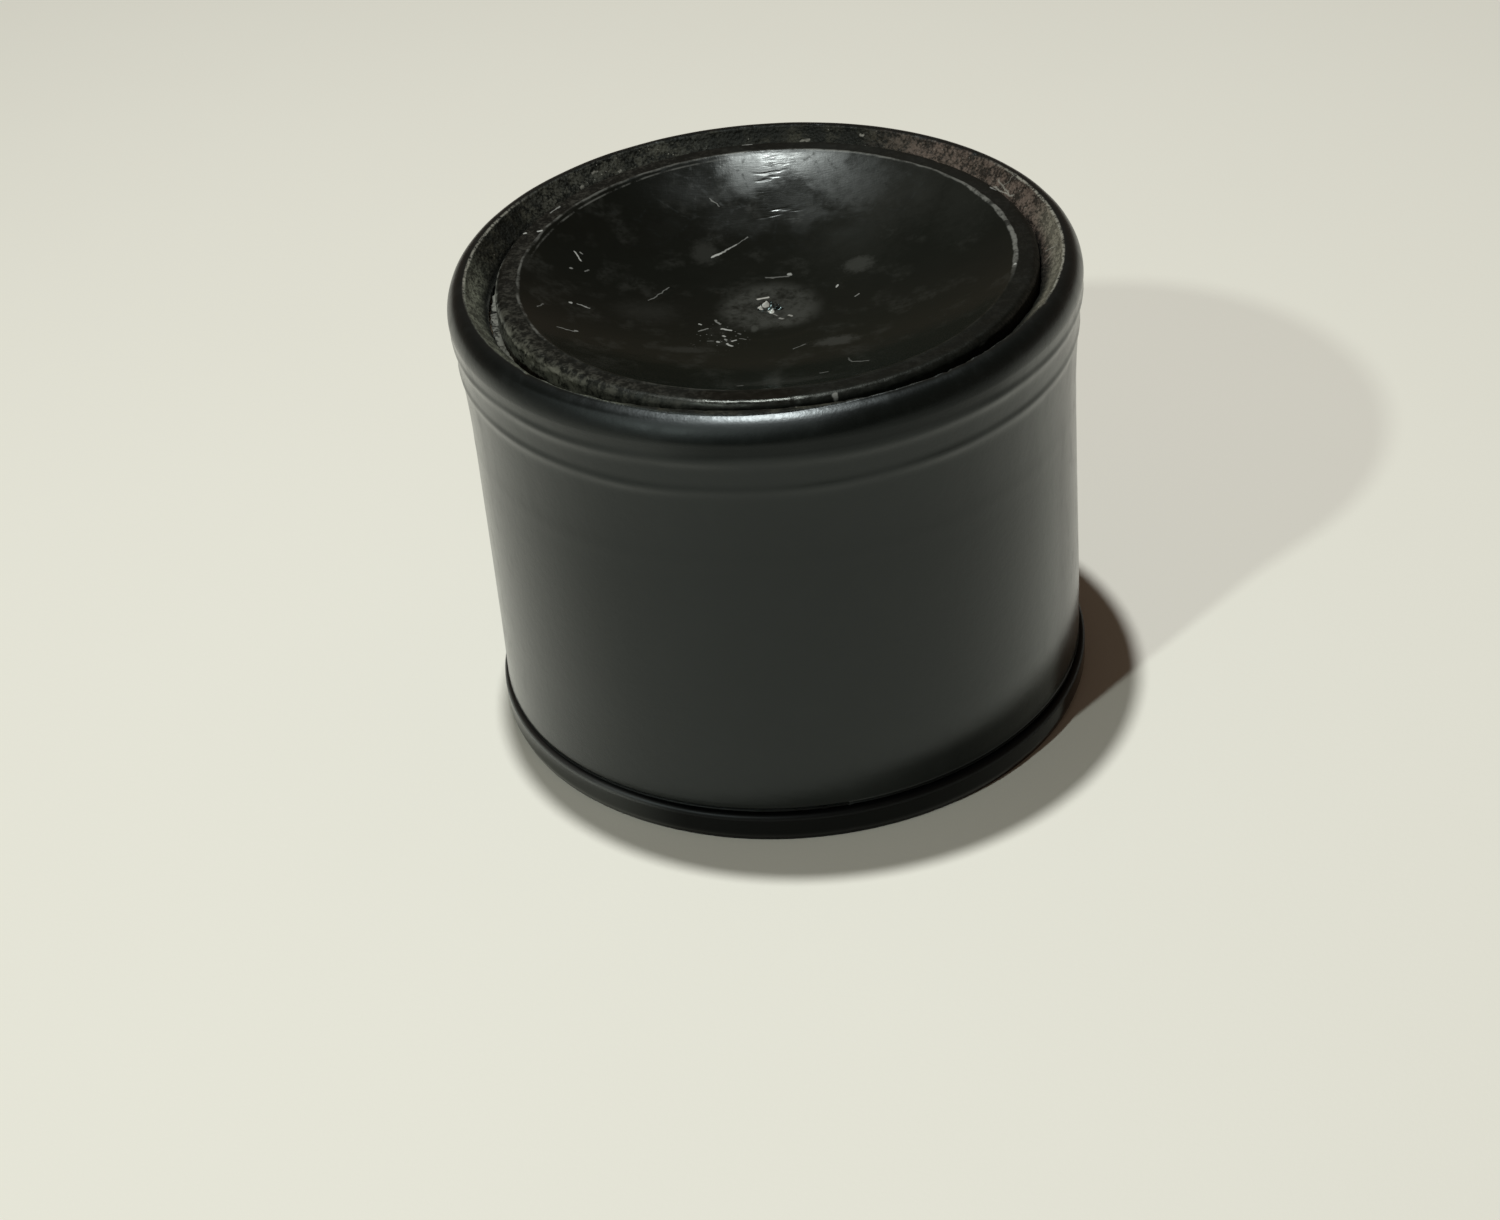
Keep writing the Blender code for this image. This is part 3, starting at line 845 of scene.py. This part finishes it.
CRUMBS = [
    (-6.5, -5.3, -5.3, -5.9, 0.10, 0.14, 1), (-6.4, -7.5, -6.2, -7.7, 0.12, 0.16, 0.9),
    (-6.2, -8.7, -6, -8.9, 0.10, 0.16, 0.6), (-7.3, -9.3, -7, -9.5, 0.12, 0.16, 0.8),
    (-5.2, -9.4, -4.7, -9.1, 0.08, 0.15, 1), (-5.9, -10.1, -5.3, -11, 0.10, 0.15, 0.95),
    (-7.4, -2.6, -6.8, -3.7, 0.06, 0.15, 0.45), (-9.7, -3.6, -9.5, -3.8, 0.12, 0.15, 0.8),
    (-9.8, -5.8, -8.5, -5, 0.04, 0.16, 0.5), (-4, -8.6, -3.3, -8.9, 0.03, 0.15, 0.35),
    (-8.6, -9, -7.9, -9, 0.03, 0.15, 0.25), (-4.3, -6.9, -4, -7.2, 0.05, 0.15, 0.3),
]
# Pale splinters at the gate, partly their own pale broken plastic and partly painted glints; rows as
# in the tables of scratches
SPLINTERS_AND_GLINTS = [
    (-0.15, 0.95, 0.05, 1.15, 0.26, 0.16, 1), (-0.95, 0.05, -0.75, -0.35, 0.20, 0.16, 1),
    (0.45, -1.1, 0.75, -1.3, 0.24, 0.18, 1), (-1.1, 2.9, 0.3, 3.1, 0.12, 0.18, 0.85),
    (1.9, -3.2, 2.2, -3.4, 0.10, 0.2, 0.45), (3.1, -2.6, 3.4, -2.9, 0.10, 0.2, 0.55),
    (1, -1.9, 1.4, -2.4, 0.05, 0.2, 0.3),
]
# Tables of smudges: centre x, centre y, half size in x, half size in y, strength
SPOTS = [
    (13.9, 9, 2.2, 1.8, 0.62), (9.4, -12.6, 3, 1.4, 0.62), (-8.4, 15.6, 1.8, 2.4, 0.34),
    (-11.5, -12, 3.6, 1, 0.30), (-1.9, -5.7, 0.55, 0.9, 0.9), (5.6, -1.2, 1.3, 1.2, 0.55),
    (1.5, -28.3, 7, 1.6, 0.30),
]
HAZE = [
    (21, 22, 9, 6.5, 1), (-17, -0.5, 3.6, 2.4, 0.9), (30, 16, 4, 7, 0.8), (14, 16, 6, 7, 0.7),
]
WIPED = [
    (15.8, 26, 5.5, 4.5, 0.95), (-13, 28, 6, 2.6, 0.70), (5.5, 23.5, 4.5, 4.5, 0.55),
    (-4.5, 22.3, 3.5, 3, 0.55),
]
# where the line round the dish is worn: angle, half width and softness in degrees, strength
RING_WEAR = [
    (12, 18, 14, 0.8), (62, 32, 20, 0.55), (128, 26, 20, 0.45), (-174, 20, 12, 0.50),
    (-112, 7, 10, 0.20),
]


class DiscPaint(Paint):
    """The base disc's worn black moulding."""

    def __init__(self):
        super().__init__("moulded_black_worn", centre=(DISC_DX, DISC_DY))
        self.cloud = self.noise(scale=0.30, detail=4, rough=0.62, distort=0.3)
        self.fine = self.noise(scale=2.6, detail=4, rough=0.65)
        self.mid = self.noise(scale=0.9, detail=4, rough=0.65, distort=0.3)
        self.outer = self.radius.ramp(DISH_R - 0.2, to=DISH_R + 0.5)
        self.flank = self.z.ramp(LAND_Z - 0.12, to=LAND_Z - 0.75)
        self.flank = self.flank * self.radius.ramp(DISC_R - 1.2, to=DISC_R - 0.5)

    def smudges(self, rows, soft):
        """A list of smudges with ragged edges."""
        found = []
        for centre_x, centre_y, half_x, half_y, strength in rows:
            dx = (self.x - centre_x) / half_x
            dy = (self.y - centre_y) / half_y
            off = self.op("SQRT", dx * dx + dy * dy)
            off = off + (self.mid - 0.5) * 1.5 + (self.fine - 0.5) * 0.6
            found.append(faded(off.ramp(1 + soft, to=1 - soft), strength))
        return found

    def bloom(self):
        """Smoky bloom round the gate and in patches."""
        gate = self.radius.ramp(8.6, to=5) * (self.cloud * 0.5 + self.mid * 0.5).ramp(0.30, to=0.60)
        gate = gate * self.y.ramp(-7.5, to=-4.5)
        spots = self.most(*self.smudges(SPOTS, soft=0.5))
        haze = self.most(*self.smudges(HAZE, soft=0.9)) * (0.4 + self.cloud * 0.6) * 0.30
        where = self.stretch(1, 1, 1, shift=(31, 7, 0))
        patches = self.noise(scale=0.17, detail=3, rough=0.55, at=where).ramp(0.50, to=0.66)
        patches = patches * self.mid.ramp(0.30, to=0.62)
        return self.most(gate * 0.85, patches * 0.22, spots, haze)

    def edge_dirt(self, base):
        """The land made darker than the dish, dust on it, and dirt on the side, most of it at the
        left and front left.
        """
        mid, fine, outer, flank = self.mid, self.fine, self.outer, self.flank
        dusty = outer * (mid * 0.6 + fine * 0.4).ramp(0.46, to=0.62)
        left_land = self.x.ramp(4, to=-26)
        where = self.stretch(1, 1, 1, shift=(5, 2, 3))
        clod = self.noise(scale=0.42, detail=3, rough=0.6, at=where).ramp(0.38, to=0.60)
        crust = (0.30 + clod * 0.70) * (mid * 0.55 + fine * 0.45).ramp(0.34, to=0.60)
        front_left = flank * self.sector(-150, half=9, soft=16) * crust
        front = flank * self.sector(-128, half=14, soft=14) * crust * 0.60
        left = flank * self.sector(178, half=10, soft=22) * mid.ramp(0.36, to=0.58) * 0.9
        spill = self.sector(-146, half=14, soft=18) * self.radius.ramp(DISH_R + 0.9, to=DISC_R - 0.6)
        spill = spill * mid.ramp(0.42, to=0.58) * crust
        right = self.sector(10, half=30, soft=30) * flank * fine.ramp(0.35, to=0.6)
        return self.coat(
            base,
            # the land darker than the dish
            (outer * 0.75, (0.0016, 0.0018, 0.0014)),
            (dusty * (0.10 + left_land * 0.45), (0.040, 0.038, 0.031)),
            (front_left, (0.170, 0.166, 0.126)),
            (front, (0.060, 0.060, 0.048)),
            (left, (0.22, 0.22, 0.19)),
            (spill * 0.7, (0.070, 0.070, 0.054)),
            (right * 0.6, (0.040, 0.032, 0.025)),
        )

    def dish_line(self):
        """The fine line round the dish, worn pale and broken, and one inside it at the back."""
        broken = self.noise(scale=0.30, detail=4, rough=0.7).ramp(0.40, to=0.58)
        wear = [self.sector(*row) * strength for *row, strength in RING_WEAR]
        half = 0.05 + self.sector(10, half=18, soft=14) * self.noise(scale=0.4) * 0.30
        stray = (self.noise(scale=0.22, detail=3, rough=0.6) - 0.5) * 0.9
        ring = abs(self.radius - (DISH_R + 0.12 + stray)).within(half, soft=0.26)
        ring = ring * (0.15 + broken * 0.85) * self.most(*wear, 0.05)
        inner = self.radius.band(DISH_R - 0.65, half=0.03, soft=0.16)
        inner = inner * self.sector(132, half=24, soft=18) * broken * 0.35
        return self.most(ring * 0.95, inner)

    def pale_marks(self):
        """Scratches, flecks and crumbs."""
        near = self.vec("DISTANCE", self.place, (-6.8, -8.0, 62.3)).ramp(6.5, to=1.5)
        dust = self.cells(scale=1.5, at=self.stretch(1, 1, 0.0001, shift=(3.3, 1.9, 0)))
        dust = dust.ramp(0.20, to=0.08) * self.noise(scale=0.7).ramp(0.44, to=0.54) * near * 0.35
        return self.most(self.scratches(DISC_SCRATCHES), self.scratches(CRUMBS), dust)

    def gate_pit_shade(self):
        """1 on the dark ragged spot at the gate: painted shade in the pits of the scar."""

        def gap_squared(axis, place):
            return (axis - place) * (axis - place)

        away = self.op("SQRT", gap_squared(self.x, GATE_X) + gap_squared(self.y, GATE_Y))
        return away.ramp(2.4, to=1.2) * self.fine.ramp(0.60, to=0.40)

    def glint_trail(self):
        """Short marks along x that break up the light, in a strip towards the back."""
        x, y = self.x, self.y
        trail = abs(x - 3).ramp(4.6, to=0.8) * y.ramp(14, to=24, gives=(0.35, 1))
        trail = trail * y.ramp(14, to=16) * y.ramp(35, to=31) * 0.8
        where = self.stretch(0.6, 2.2, 0, shift=(8, 3, 0))
        trail = trail * self.noise(scale=0.16, at=where).ramp(0.44, to=0.62)
        where = self.stretch(0.30, 1.25, 0, shift=(2, 5, 0))
        return self.noise(detail=1, rough=0.4, at=where).ramp(0.48, to=0.76) * trail

    def smear(self, back):
        """Wiped smears, duller than the rest, in the back half."""
        where = self.stretch(0.13, 0.10, 0.3, shift=(4, 9, 0))
        wipe = self.noise(detail=3, rough=0.55, distort=0.35, at=where)
        where = self.stretch(0.6, 0.45, 0.5, shift=(7, 2, 0))
        mottle = self.noise(detail=4, rough=0.62, distort=0.5, at=where)
        wiped = wipe.ramp(0.38, to=0.64) * self.x.ramp(-9, to=1, gives=(0.5, 1))
        wiped = self.most(wiped, *self.smudges(WIPED, soft=0.8))
        return wiped * back * abs(self.x - 5).ramp(30, to=6) * (0.55 + mottle * 0.9)


def disc_paint():
    paint = DiscPaint()
    x, y = paint.x, paint.y
    cloud, fine, mid, outer, flank = paint.cloud, paint.fine, paint.mid, paint.outer, paint.flank
    right = x.ramp(-22, to=16) * 0.6 + cloud * 0.4
    front = y.ramp(2, to=-16) * (0.35 + mid * 0.5)
    bloom = paint.bloom()
    pale = paint.pale_marks()
    base = paint.coat(
        (0.0008, 0.0018, 0.0013),
        (right, (0.0052, 0.0066, 0.0052)),
        (front, (0.0027, 0.0052, 0.0030)),
        (bloom, (0.038, 0.039, 0.034)),
    )
    base = paint.coat(
        paint.edge_dirt(base),
        (paint.dish_line(), (0.17, 0.17, 0.152)),
        (pale * 0.9, (0.36, 0.36, 0.33)),
        # painted shade in the pits at the gate
        (paint.gate_pit_shade(), (0.0012, 0.0012, 0.0010)),
        # pale splinters, partly painted glints
        (paint.scratches(SPLINTERS_AND_GLINTS), (0.42, 0.41, 0.37)),
        # painted shade in the slot beside the gate
        (paint.scratch(1, -0.3, 2, -0.4, half_width=0.35, soft=0.25), (0.0008, 0.0008, 0.0007)),
    )
    back = y.ramp(9, to=25)
    where = paint.stretch(1, 1, 0.001, shift=(3, 5, 0))
    cracks = paint.cells(scale=0.16, at=where, feature="DISTANCE_TO_EDGE").ramp(0.05, to=0)
    cracks = cracks * back * mid.ramp(0.45, to=0.6)
    # fine streaks along x and along y
    along_x = paint.noise(detail=3, rough=0.6, at=paint.stretch(0.55, 4.5, 0.5))
    along_y = paint.noise(detail=3, rough=0.6, at=paint.stretch(4, 0.55, 0.5))
    # the land is rough and dull except for a glint at the front
    glint = paint.sector(-96, half=6, soft=9)
    rough = 0.165 + paint.smear(back) * 0.19 + (along_x - 0.5) * 0.07
    rough = rough + (mid - 0.5) * 0.06 + (fine - 0.5) * 0.04
    rough = rough + bloom * 0.14 + outer * (0.26 - glint * 0.20)
    rough = rough + pale * 0.3 + flank * 0.2 + cracks * 0.10
    streaks = along_x * 0.5 + along_y * 0.2 + fine * 0.3
    normal = paint.bump(cloud, distance=0.00003)
    normal = paint.bump(streaks, distance=0.000014, over=normal)
    normal = paint.bump(paint.glint_trail(), distance=0.00008, over=normal)
    normal = paint.bump(outer * fine, distance=0.00004, over=normal)
    # painted reflection colour: reflections tinted cyan-green towards the front and near neutral
    # towards the back, where the overhead lamp's glow lies
    tint = paint.mix(y.ramp(6, to=22), (0.72, 1.0, 0.98), (0.93, 0.97, 0.93))
    return paint.finish(
        Base_Color=base,
        Roughness=rough,
        IOR=1.46,
        Normal=normal,
        Specular_IOR_Level=0.5 - (cracks * 0.20 + outer * (1 - glint * 1.0) * 0.22),
        Specular_Tint=paint.mix(outer, tint, (0.92, 0.96, 0.86)),
    )


disc = turned("base_disc_moulding", disc_profile(), 512, False, disc_shape)
stand_in(disc, "base_disc", disc_paint())


# ---- Lip ring ----

lip_noise = Noise(41)


def lip_profile():
    # the shoulder, the outside and the foot
    shoulder_r, shoulder_z = MOUTH_R - LIP_SHOULDER_R, LIP_TOP - LIP_WIDE_Z
    points = arc(LIP_SHOULDER_R, LIP_WIDE_Z, shoulder_r, shoulder_z, 90, 0, 10)
    for k in range(1, 8):
        points.append((MOUTH_R, LIP_WIDE_Z + (LIP_FOOT_Z - LIP_WIDE_Z) * k / 7))
    for k in range(1, 5):
        radius = MOUTH_R + (LIP_FOOT_R - MOUTH_R) * k / 4
        points.append((radius, LIP_FOOT_Z + (0.25 - LIP_FOOT_Z) * k / 4))
    points += [(LIP_FOOT_R - 0.07, 0.07), (LIP_FOOT_R - 0.25, 0.0), (42.2, 0.0), (41.2, 0.0)]
    # the inside
    points += arc(LIP_IN_R + 1.6, 1.6, 1.6, 1.6, -90, -180, 10)
    points += [(LIP_IN_R, 2.4), (LIP_IN_R, 3.2)]
    points += arc(LIP_IN_R + 0.5, LIP_TOP - 0.5, 0.5, 0.5, 180, 90, 5)
    # the channel in the top
    near, far, floor = LIP_CHANNEL_IN_R, WALL_R - LEATHER_T, LIP_CHANNEL_Z
    points += [(near - 0.6, LIP_TOP), (near - 0.05, LIP_TOP), (near, LIP_TOP - 0.05)]
    points += [(near, floor + 0.05), (near + 0.05, floor), (far - 0.05, floor)]
    points += [(far, floor + 0.05), (far, LIP_TOP - 0.05), (far + 0.05, LIP_TOP)]
    return points + [(43.2, LIP_TOP), (43.9, LIP_TOP)]


def lip_shape(x, y, z, radius, angle, face_out, face_up):
    outside = ease(face_out, 0.2, 0.7) * (radius > 42.5)
    waves = 0.030 * lip_noise(x / 25, y / 25, z / 12) + 0.008 * lip_noise(x / 5, y / 5, z / 3)
    # knocks along the foot; the underside stays flat
    foot = hump(z, 0.9, 0.6) * (radius > 43)
    knocks = foot * 0.25 * np.maximum(lip_noise.around(angle, 30, 7) - 0.4, 0)
    return Shift((outside * waves - knocks) * (face_up >= -0.9))


def lip_paint():
    paint = Paint("moulded_black_lip")
    z = paint.z
    cloud = paint.noise(scale=0.5, detail=3, rough=0.6)
    fine = paint.noise(scale=3.5, detail=4, rough=0.65)
    round_marks = paint.noise(at=paint.stretch(0.25, 0.25, 6))
    foot = z.ramp(1.3, to=0.2) * fine.ramp(0.4, to=0.62)
    rough = 0.12 + (cloud - 0.5) * 0.12 + (fine - 0.5) * 0.08
    rough = rough + foot * 0.25 + z.ramp(3.5, to=3.9) * 0.35
    shine = 0.30 + paint.sector(-156, half=22, soft=22) * 1.8  # brightest at the front left
    return paint.finish(
        Base_Color=paint.coat(
            (0.0007, 0.0009, 0.0009),
            (cloud, (0.0016, 0.0018, 0.0018)),
            (foot * 0.3, (0.016, 0.016, 0.015)),
        ),
        Roughness=rough,
        IOR=1.42,
        Normal=paint.bump(round_marks * 0.6 + fine * 0.4, distance=0.000018),
        Specular_IOR_Level=shine * z.ramp(0.2, to=1.3, gives=(0.35, 1)),
        Specular_Tint=(0.92, 0.99, 1.0),
    )


lip = turned("lip_ring_moulding", lip_profile(), 448, True, lip_shape)
stand_in(lip, "lip_ring", lip_paint())


# ---- Felt lining and floor pad ----

felt_noise = Noise(3)


def lining_profile():
    outer, low, high = felt_hi[0], felt_lo[2], felt_hi[2]
    inner = outer - FELT_T
    corners = [(outer, high), (outer, low), (inner + 0.35, low)]
    corners += [(inner, low + 0.35), (inner, high - 0.2), (inner + 0.2, high)]
    # cut the long stretches up, finely where the cloth shows
    points = []
    for (r0, z0), (r1, z1) in zip(corners, corners[1:] + corners[:1]):
        step = 0.55 if (r0 + r1) / 2 < outer - 0.5 else 3.0
        count = max(1, math.ceil(math.hypot(r1 - r0, z1 - z0) / step - 1e-6))
        points += [
            (r0 + (r1 - r0) * k / count, z0 + (z1 - z0) * k / count) for k in range(count)
        ]
    return points


def lining_shape(x, y, z, radius, angle, face_out, face_up):
    fuzz = 0.05 * felt_noise.fractal(x / 1.5, y / 1.5, z / 1.5, octaves=2)
    return Shift(ease(-face_out, 0.4, 0.8) * (-0.06 + 0.09 * felt_noise(x / 7, y / 7, z / 7) + fuzz))


def pad_profile():
    outer, low, high = pad_hi[0], pad_lo[2], pad_hi[2]
    radii = [0.4 + 0.75 * i for i in range(int((outer - 0.8) / 0.75) + 1)]
    points = [(radius, high) for radius in (0.4, 12.0, 24.0, outer - 0.1)]
    points += [(outer, high - 0.1), (outer, low + 0.3), (outer - 0.3, low)]
    return points + [(radius, low) for radius in reversed(radii) if radius < outer - 0.4]


def pad_shape(x, y, z, radius, angle, face_out, face_up):
    fuzz = 0.05 * felt_noise.fractal(x / 1.5, y / 1.5, 5, octaves=2)
    return Shift((face_up < -0.5) * (-0.05 + 0.08 * felt_noise(x / 8, y / 8, 2) + fuzz))


def felt_paint():
    paint = Paint("felt_charcoal")
    tufts = paint.noise(scale=1.6, detail=5, rough=0.7, distort=0.8)
    fibres = paint.noise(detail=4, rough=0.75, distort=1.6, at=paint.stretch(6, 6, 2))
    where = paint.stretch(2, 2.5, 7, shift=(9, 2, 4))
    pale_fibres = paint.noise(detail=4, rough=0.75, distort=1.6, at=where)
    rubbed = paint.noise(scale=0.12, detail=3, rough=0.6)
    height = tufts * 0.35 + fibres * 0.35 + pale_fibres * 0.3
    return paint.finish(
        Base_Color=paint.coat(
            (0.016, 0.016, 0.018),
            (tufts * 0.5 + fibres * 0.5, (0.050, 0.050, 0.053)),
            (pale_fibres.ramp(0.60, to=0.72) * 0.5, (0.13, 0.13, 0.13)),
            (rubbed.ramp(0.5, to=0.7) * 0.35, (0.060, 0.058, 0.055)),
        ),
        Roughness=0.88 + fibres * 0.1,
        Sheen_Weight=0.5,
        Sheen_Roughness=0.5,
        Sheen_Tint=(0.6, 0.6, 0.62),
        Specular_IOR_Level=0.2,
        Normal=paint.bump(height, distance=0.00025),
    )


felt = felt_paint()
lining = turned("felt_wall_lining_cloth", lining_profile(), 400, True, lining_shape)
stand_in(lining, "felt_wall_lining", felt)
pad = turned("felt_floor_pad_cloth", pad_profile(), 256, False, pad_shape)
stand_in(pad, "felt_floor_pad", felt)


# ---- Rim cord: three strands laid round each other ----


def rope(name):
    strand_r = CORD_R * 0.47
    off = CORD_R - strand_r - 0.02
    turn = np.arange(CORD_ALONG) * 2 * math.pi / CORD_ALONG
    out = np.stack([np.cos(turn), np.sin(turn), 0 * turn], -1)
    verts, faces = [], []
    for strand in range(3):
        lay = CORD_TURNS * turn + strand * 2 * math.pi / 3
        radius = CORD_CENTRE_R + off * np.cos(lay)
        z = CORD_Z + off * np.sin(lay)
        centre = np.stack([radius * np.cos(turn), radius * np.sin(turn), z], -1)
        ahead = np.roll(centre, -1, 0) - np.roll(centre, 1, 0)
        ahead /= np.linalg.norm(ahead, axis=1)[:, None]
        side = np.cross(ahead, out)
        side /= np.linalg.norm(side, axis=1)[:, None]
        up = np.cross(side, ahead)
        base = len(verts)
        for k in range(CORD_ALONG):
            row = base + k * CORD_SIDES
            next_row = base + (k + 1) % CORD_ALONG * CORD_SIDES
            for s in range(CORD_SIDES):
                angle = 2 * math.pi * s / CORD_SIDES
                ply = 1 + 0.06 * math.cos(3 * angle + 40 * CORD_TURNS * turn[k] / 6)
                spoke = math.cos(angle) * up[k] + math.sin(angle) * side[k]
                verts.append(centre[k] + strand_r * ply * spoke)
                s2 = (s + 1) % CORD_SIDES
                faces.append((row + s, next_row + s, next_row + s2, row + s2))
    return add_piece(name, verts, faces)


def cotton_paint():
    paint = Paint("cotton_natural")
    strands = paint.noise(detail=4, rough=0.7, distort=1, at=paint.stretch(5, 5, 5))
    broad = paint.noise(scale=0.2)
    base = paint.mix(strands, (0.38, 0.33, 0.25), (0.62, 0.56, 0.45))
    return paint.finish(
        Base_Color=paint.mix(broad * 0.4, base, (0.33, 0.28, 0.2)),
        Roughness=0.9,
        Sheen_Weight=0.3,
        Normal=paint.bump(strands, distance=0.00012),
    )


stand_in(rope("rim_cord_rope"), "rim_cord", cotton_paint())


# ---- Fibreboard tube and floor board keep their CAD shapes ----


def board_paint(name, wound):
    paint = Paint(name)
    pulp = paint.noise(scale=1.8, detail=5, rough=0.7)
    flecks = paint.cells(scale=0.8).ramp(0.14, to=0.06)
    base = paint.mix(pulp, (0.21, 0.155, 0.095), (0.36, 0.275, 0.18))
    base = paint.mix(flecks * 0.5, base, (0.12, 0.08, 0.05))
    height = pulp
    if wound:
        # the wound strips meet along a helix rising 42 mm a turn
        turn = paint.angle / 360 + paint.z / 42
        seam = paint.op("FRACT", turn).band(0.5, half=0.0025, soft=0.004)
        base = paint.mix(seam * 0.7, base, (0.09, 0.06, 0.035))
        height = pulp - seam
    normal = paint.bump(height, distance=0.00015)
    return paint.finish(Base_Color=base, Roughness=0.78 + pulp * 0.15, Normal=normal)


for node, name, wound in (
    ("core_tube", "fibreboard_wound", True),
    ("floor_board", "fibreboard_flat", False),
):
    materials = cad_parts[node].data.materials
    materials.clear()
    materials.append(board_paint(name, wound))


# ---- Floor, lights, camera ----

FLOOR_HALF = 1.6
FLOOR_Z = -0.00002


def floor_paint():
    paint = Paint("floor_pale")
    broad = paint.noise(scale=0.012, detail=3)
    tooth = paint.noise(scale=1.4, detail=4, rough=0.6)
    return paint.finish(
        Base_Color=paint.mix(broad, (0.795, 0.770, 0.680), (0.815, 0.790, 0.700)),
        Roughness=0.62,
        Specular_IOR_Level=0.3,
        Normal=paint.bump(tooth, distance=0.00002),
    )


def add_floor():
    mesh = bpy.data.meshes.new("studio_floor")
    signs = ((-1, -1), (1, -1), (1, 1), (-1, 1))
    corners = [(x * FLOOR_HALF, y * FLOOR_HALF, FLOOR_Z) for x, y in signs]
    mesh.from_pydata(corners, [], [(0, 1, 2, 3)])
    floor = bpy.data.objects.new("studio_floor", mesh)
    bpy.context.scene.collection.objects.link(floor)
    mesh.materials.append(floor_paint())


def add_lamp(name, place, size, power, colour):
    """A round lamp aimed at the origin."""
    data = bpy.data.lights.new(name, "AREA")
    data.shape = "DISK"
    data.size = size
    data.energy = power
    data.color = colour
    lamp = bpy.data.objects.new(name, data)
    lamp.location = place
    lamp.rotation_mode = "QUATERNION"
    lamp.rotation_quaternion = (-Vector(place)).to_track_quat("-Z", "Y")
    bpy.context.scene.collection.objects.link(lamp)


def add_camera(place, yaw, pitch, roll, lens, shift_x, shift_y):
    """Angles in radians: yaw from +y towards +x, pitch downwards."""
    data = bpy.data.cameras.new("camera")
    data.sensor_width = 36.0
    data.lens = lens
    data.shift_x = shift_x
    data.shift_y = shift_y
    data.clip_start = 0.01
    data.clip_end = 20
    camera = bpy.data.objects.new("camera", data)
    level = math.cos(pitch)
    forward = Vector((math.sin(yaw) * level, math.cos(yaw) * level, -math.sin(pitch)))
    flat = Vector((math.cos(yaw), -math.sin(yaw), 0.0))
    down = forward.cross(flat)
    right_axis = math.cos(roll) * flat + math.sin(roll) * down
    down_axis = -math.sin(roll) * flat + math.cos(roll) * down
    turn = Matrix((right_axis, -down_axis, -forward)).transposed().to_4x4()
    camera.matrix_world = Matrix.Translation(place) @ turn
    bpy.context.scene.collection.objects.link(camera)
    bpy.context.scene.camera = camera


def set_world_and_view():
    world = bpy.data.worlds.new("studio_world")
    bpy.context.scene.world = world
    world.use_nodes = True
    background = world.node_tree.nodes["Background"]
    background.inputs["Color"].default_value = (1.0, 0.72, 0.54, 1)
    background.inputs["Strength"].default_value = 0.084
    view = bpy.context.scene.view_settings
    view.view_transform = "Standard"
    view.look = "None"
    view.exposure = 0.0
    view.gamma = 1.0


add_floor()
add_lamp(
    "lamp_overhead", place=(-0.046, 0.0605, 0.92), size=0.042, power=6.30,
    colour=(0.958, 0.993, 1.0),
)
add_lamp(
    "lamp_front_left", place=(-0.64, -0.72, 0.86), size=0.055, power=4.75,
    colour=(0.908, 1.0, 0.965),
)
set_world_and_view()
add_camera(
    place=(0.0, -0.37796265, 0.27196425), yaw=-0.01078, pitch=0.61167, roll=0.08837,
    lens=71.95992, shift_x=-0.010593333, shift_y=0.0093933333,
)
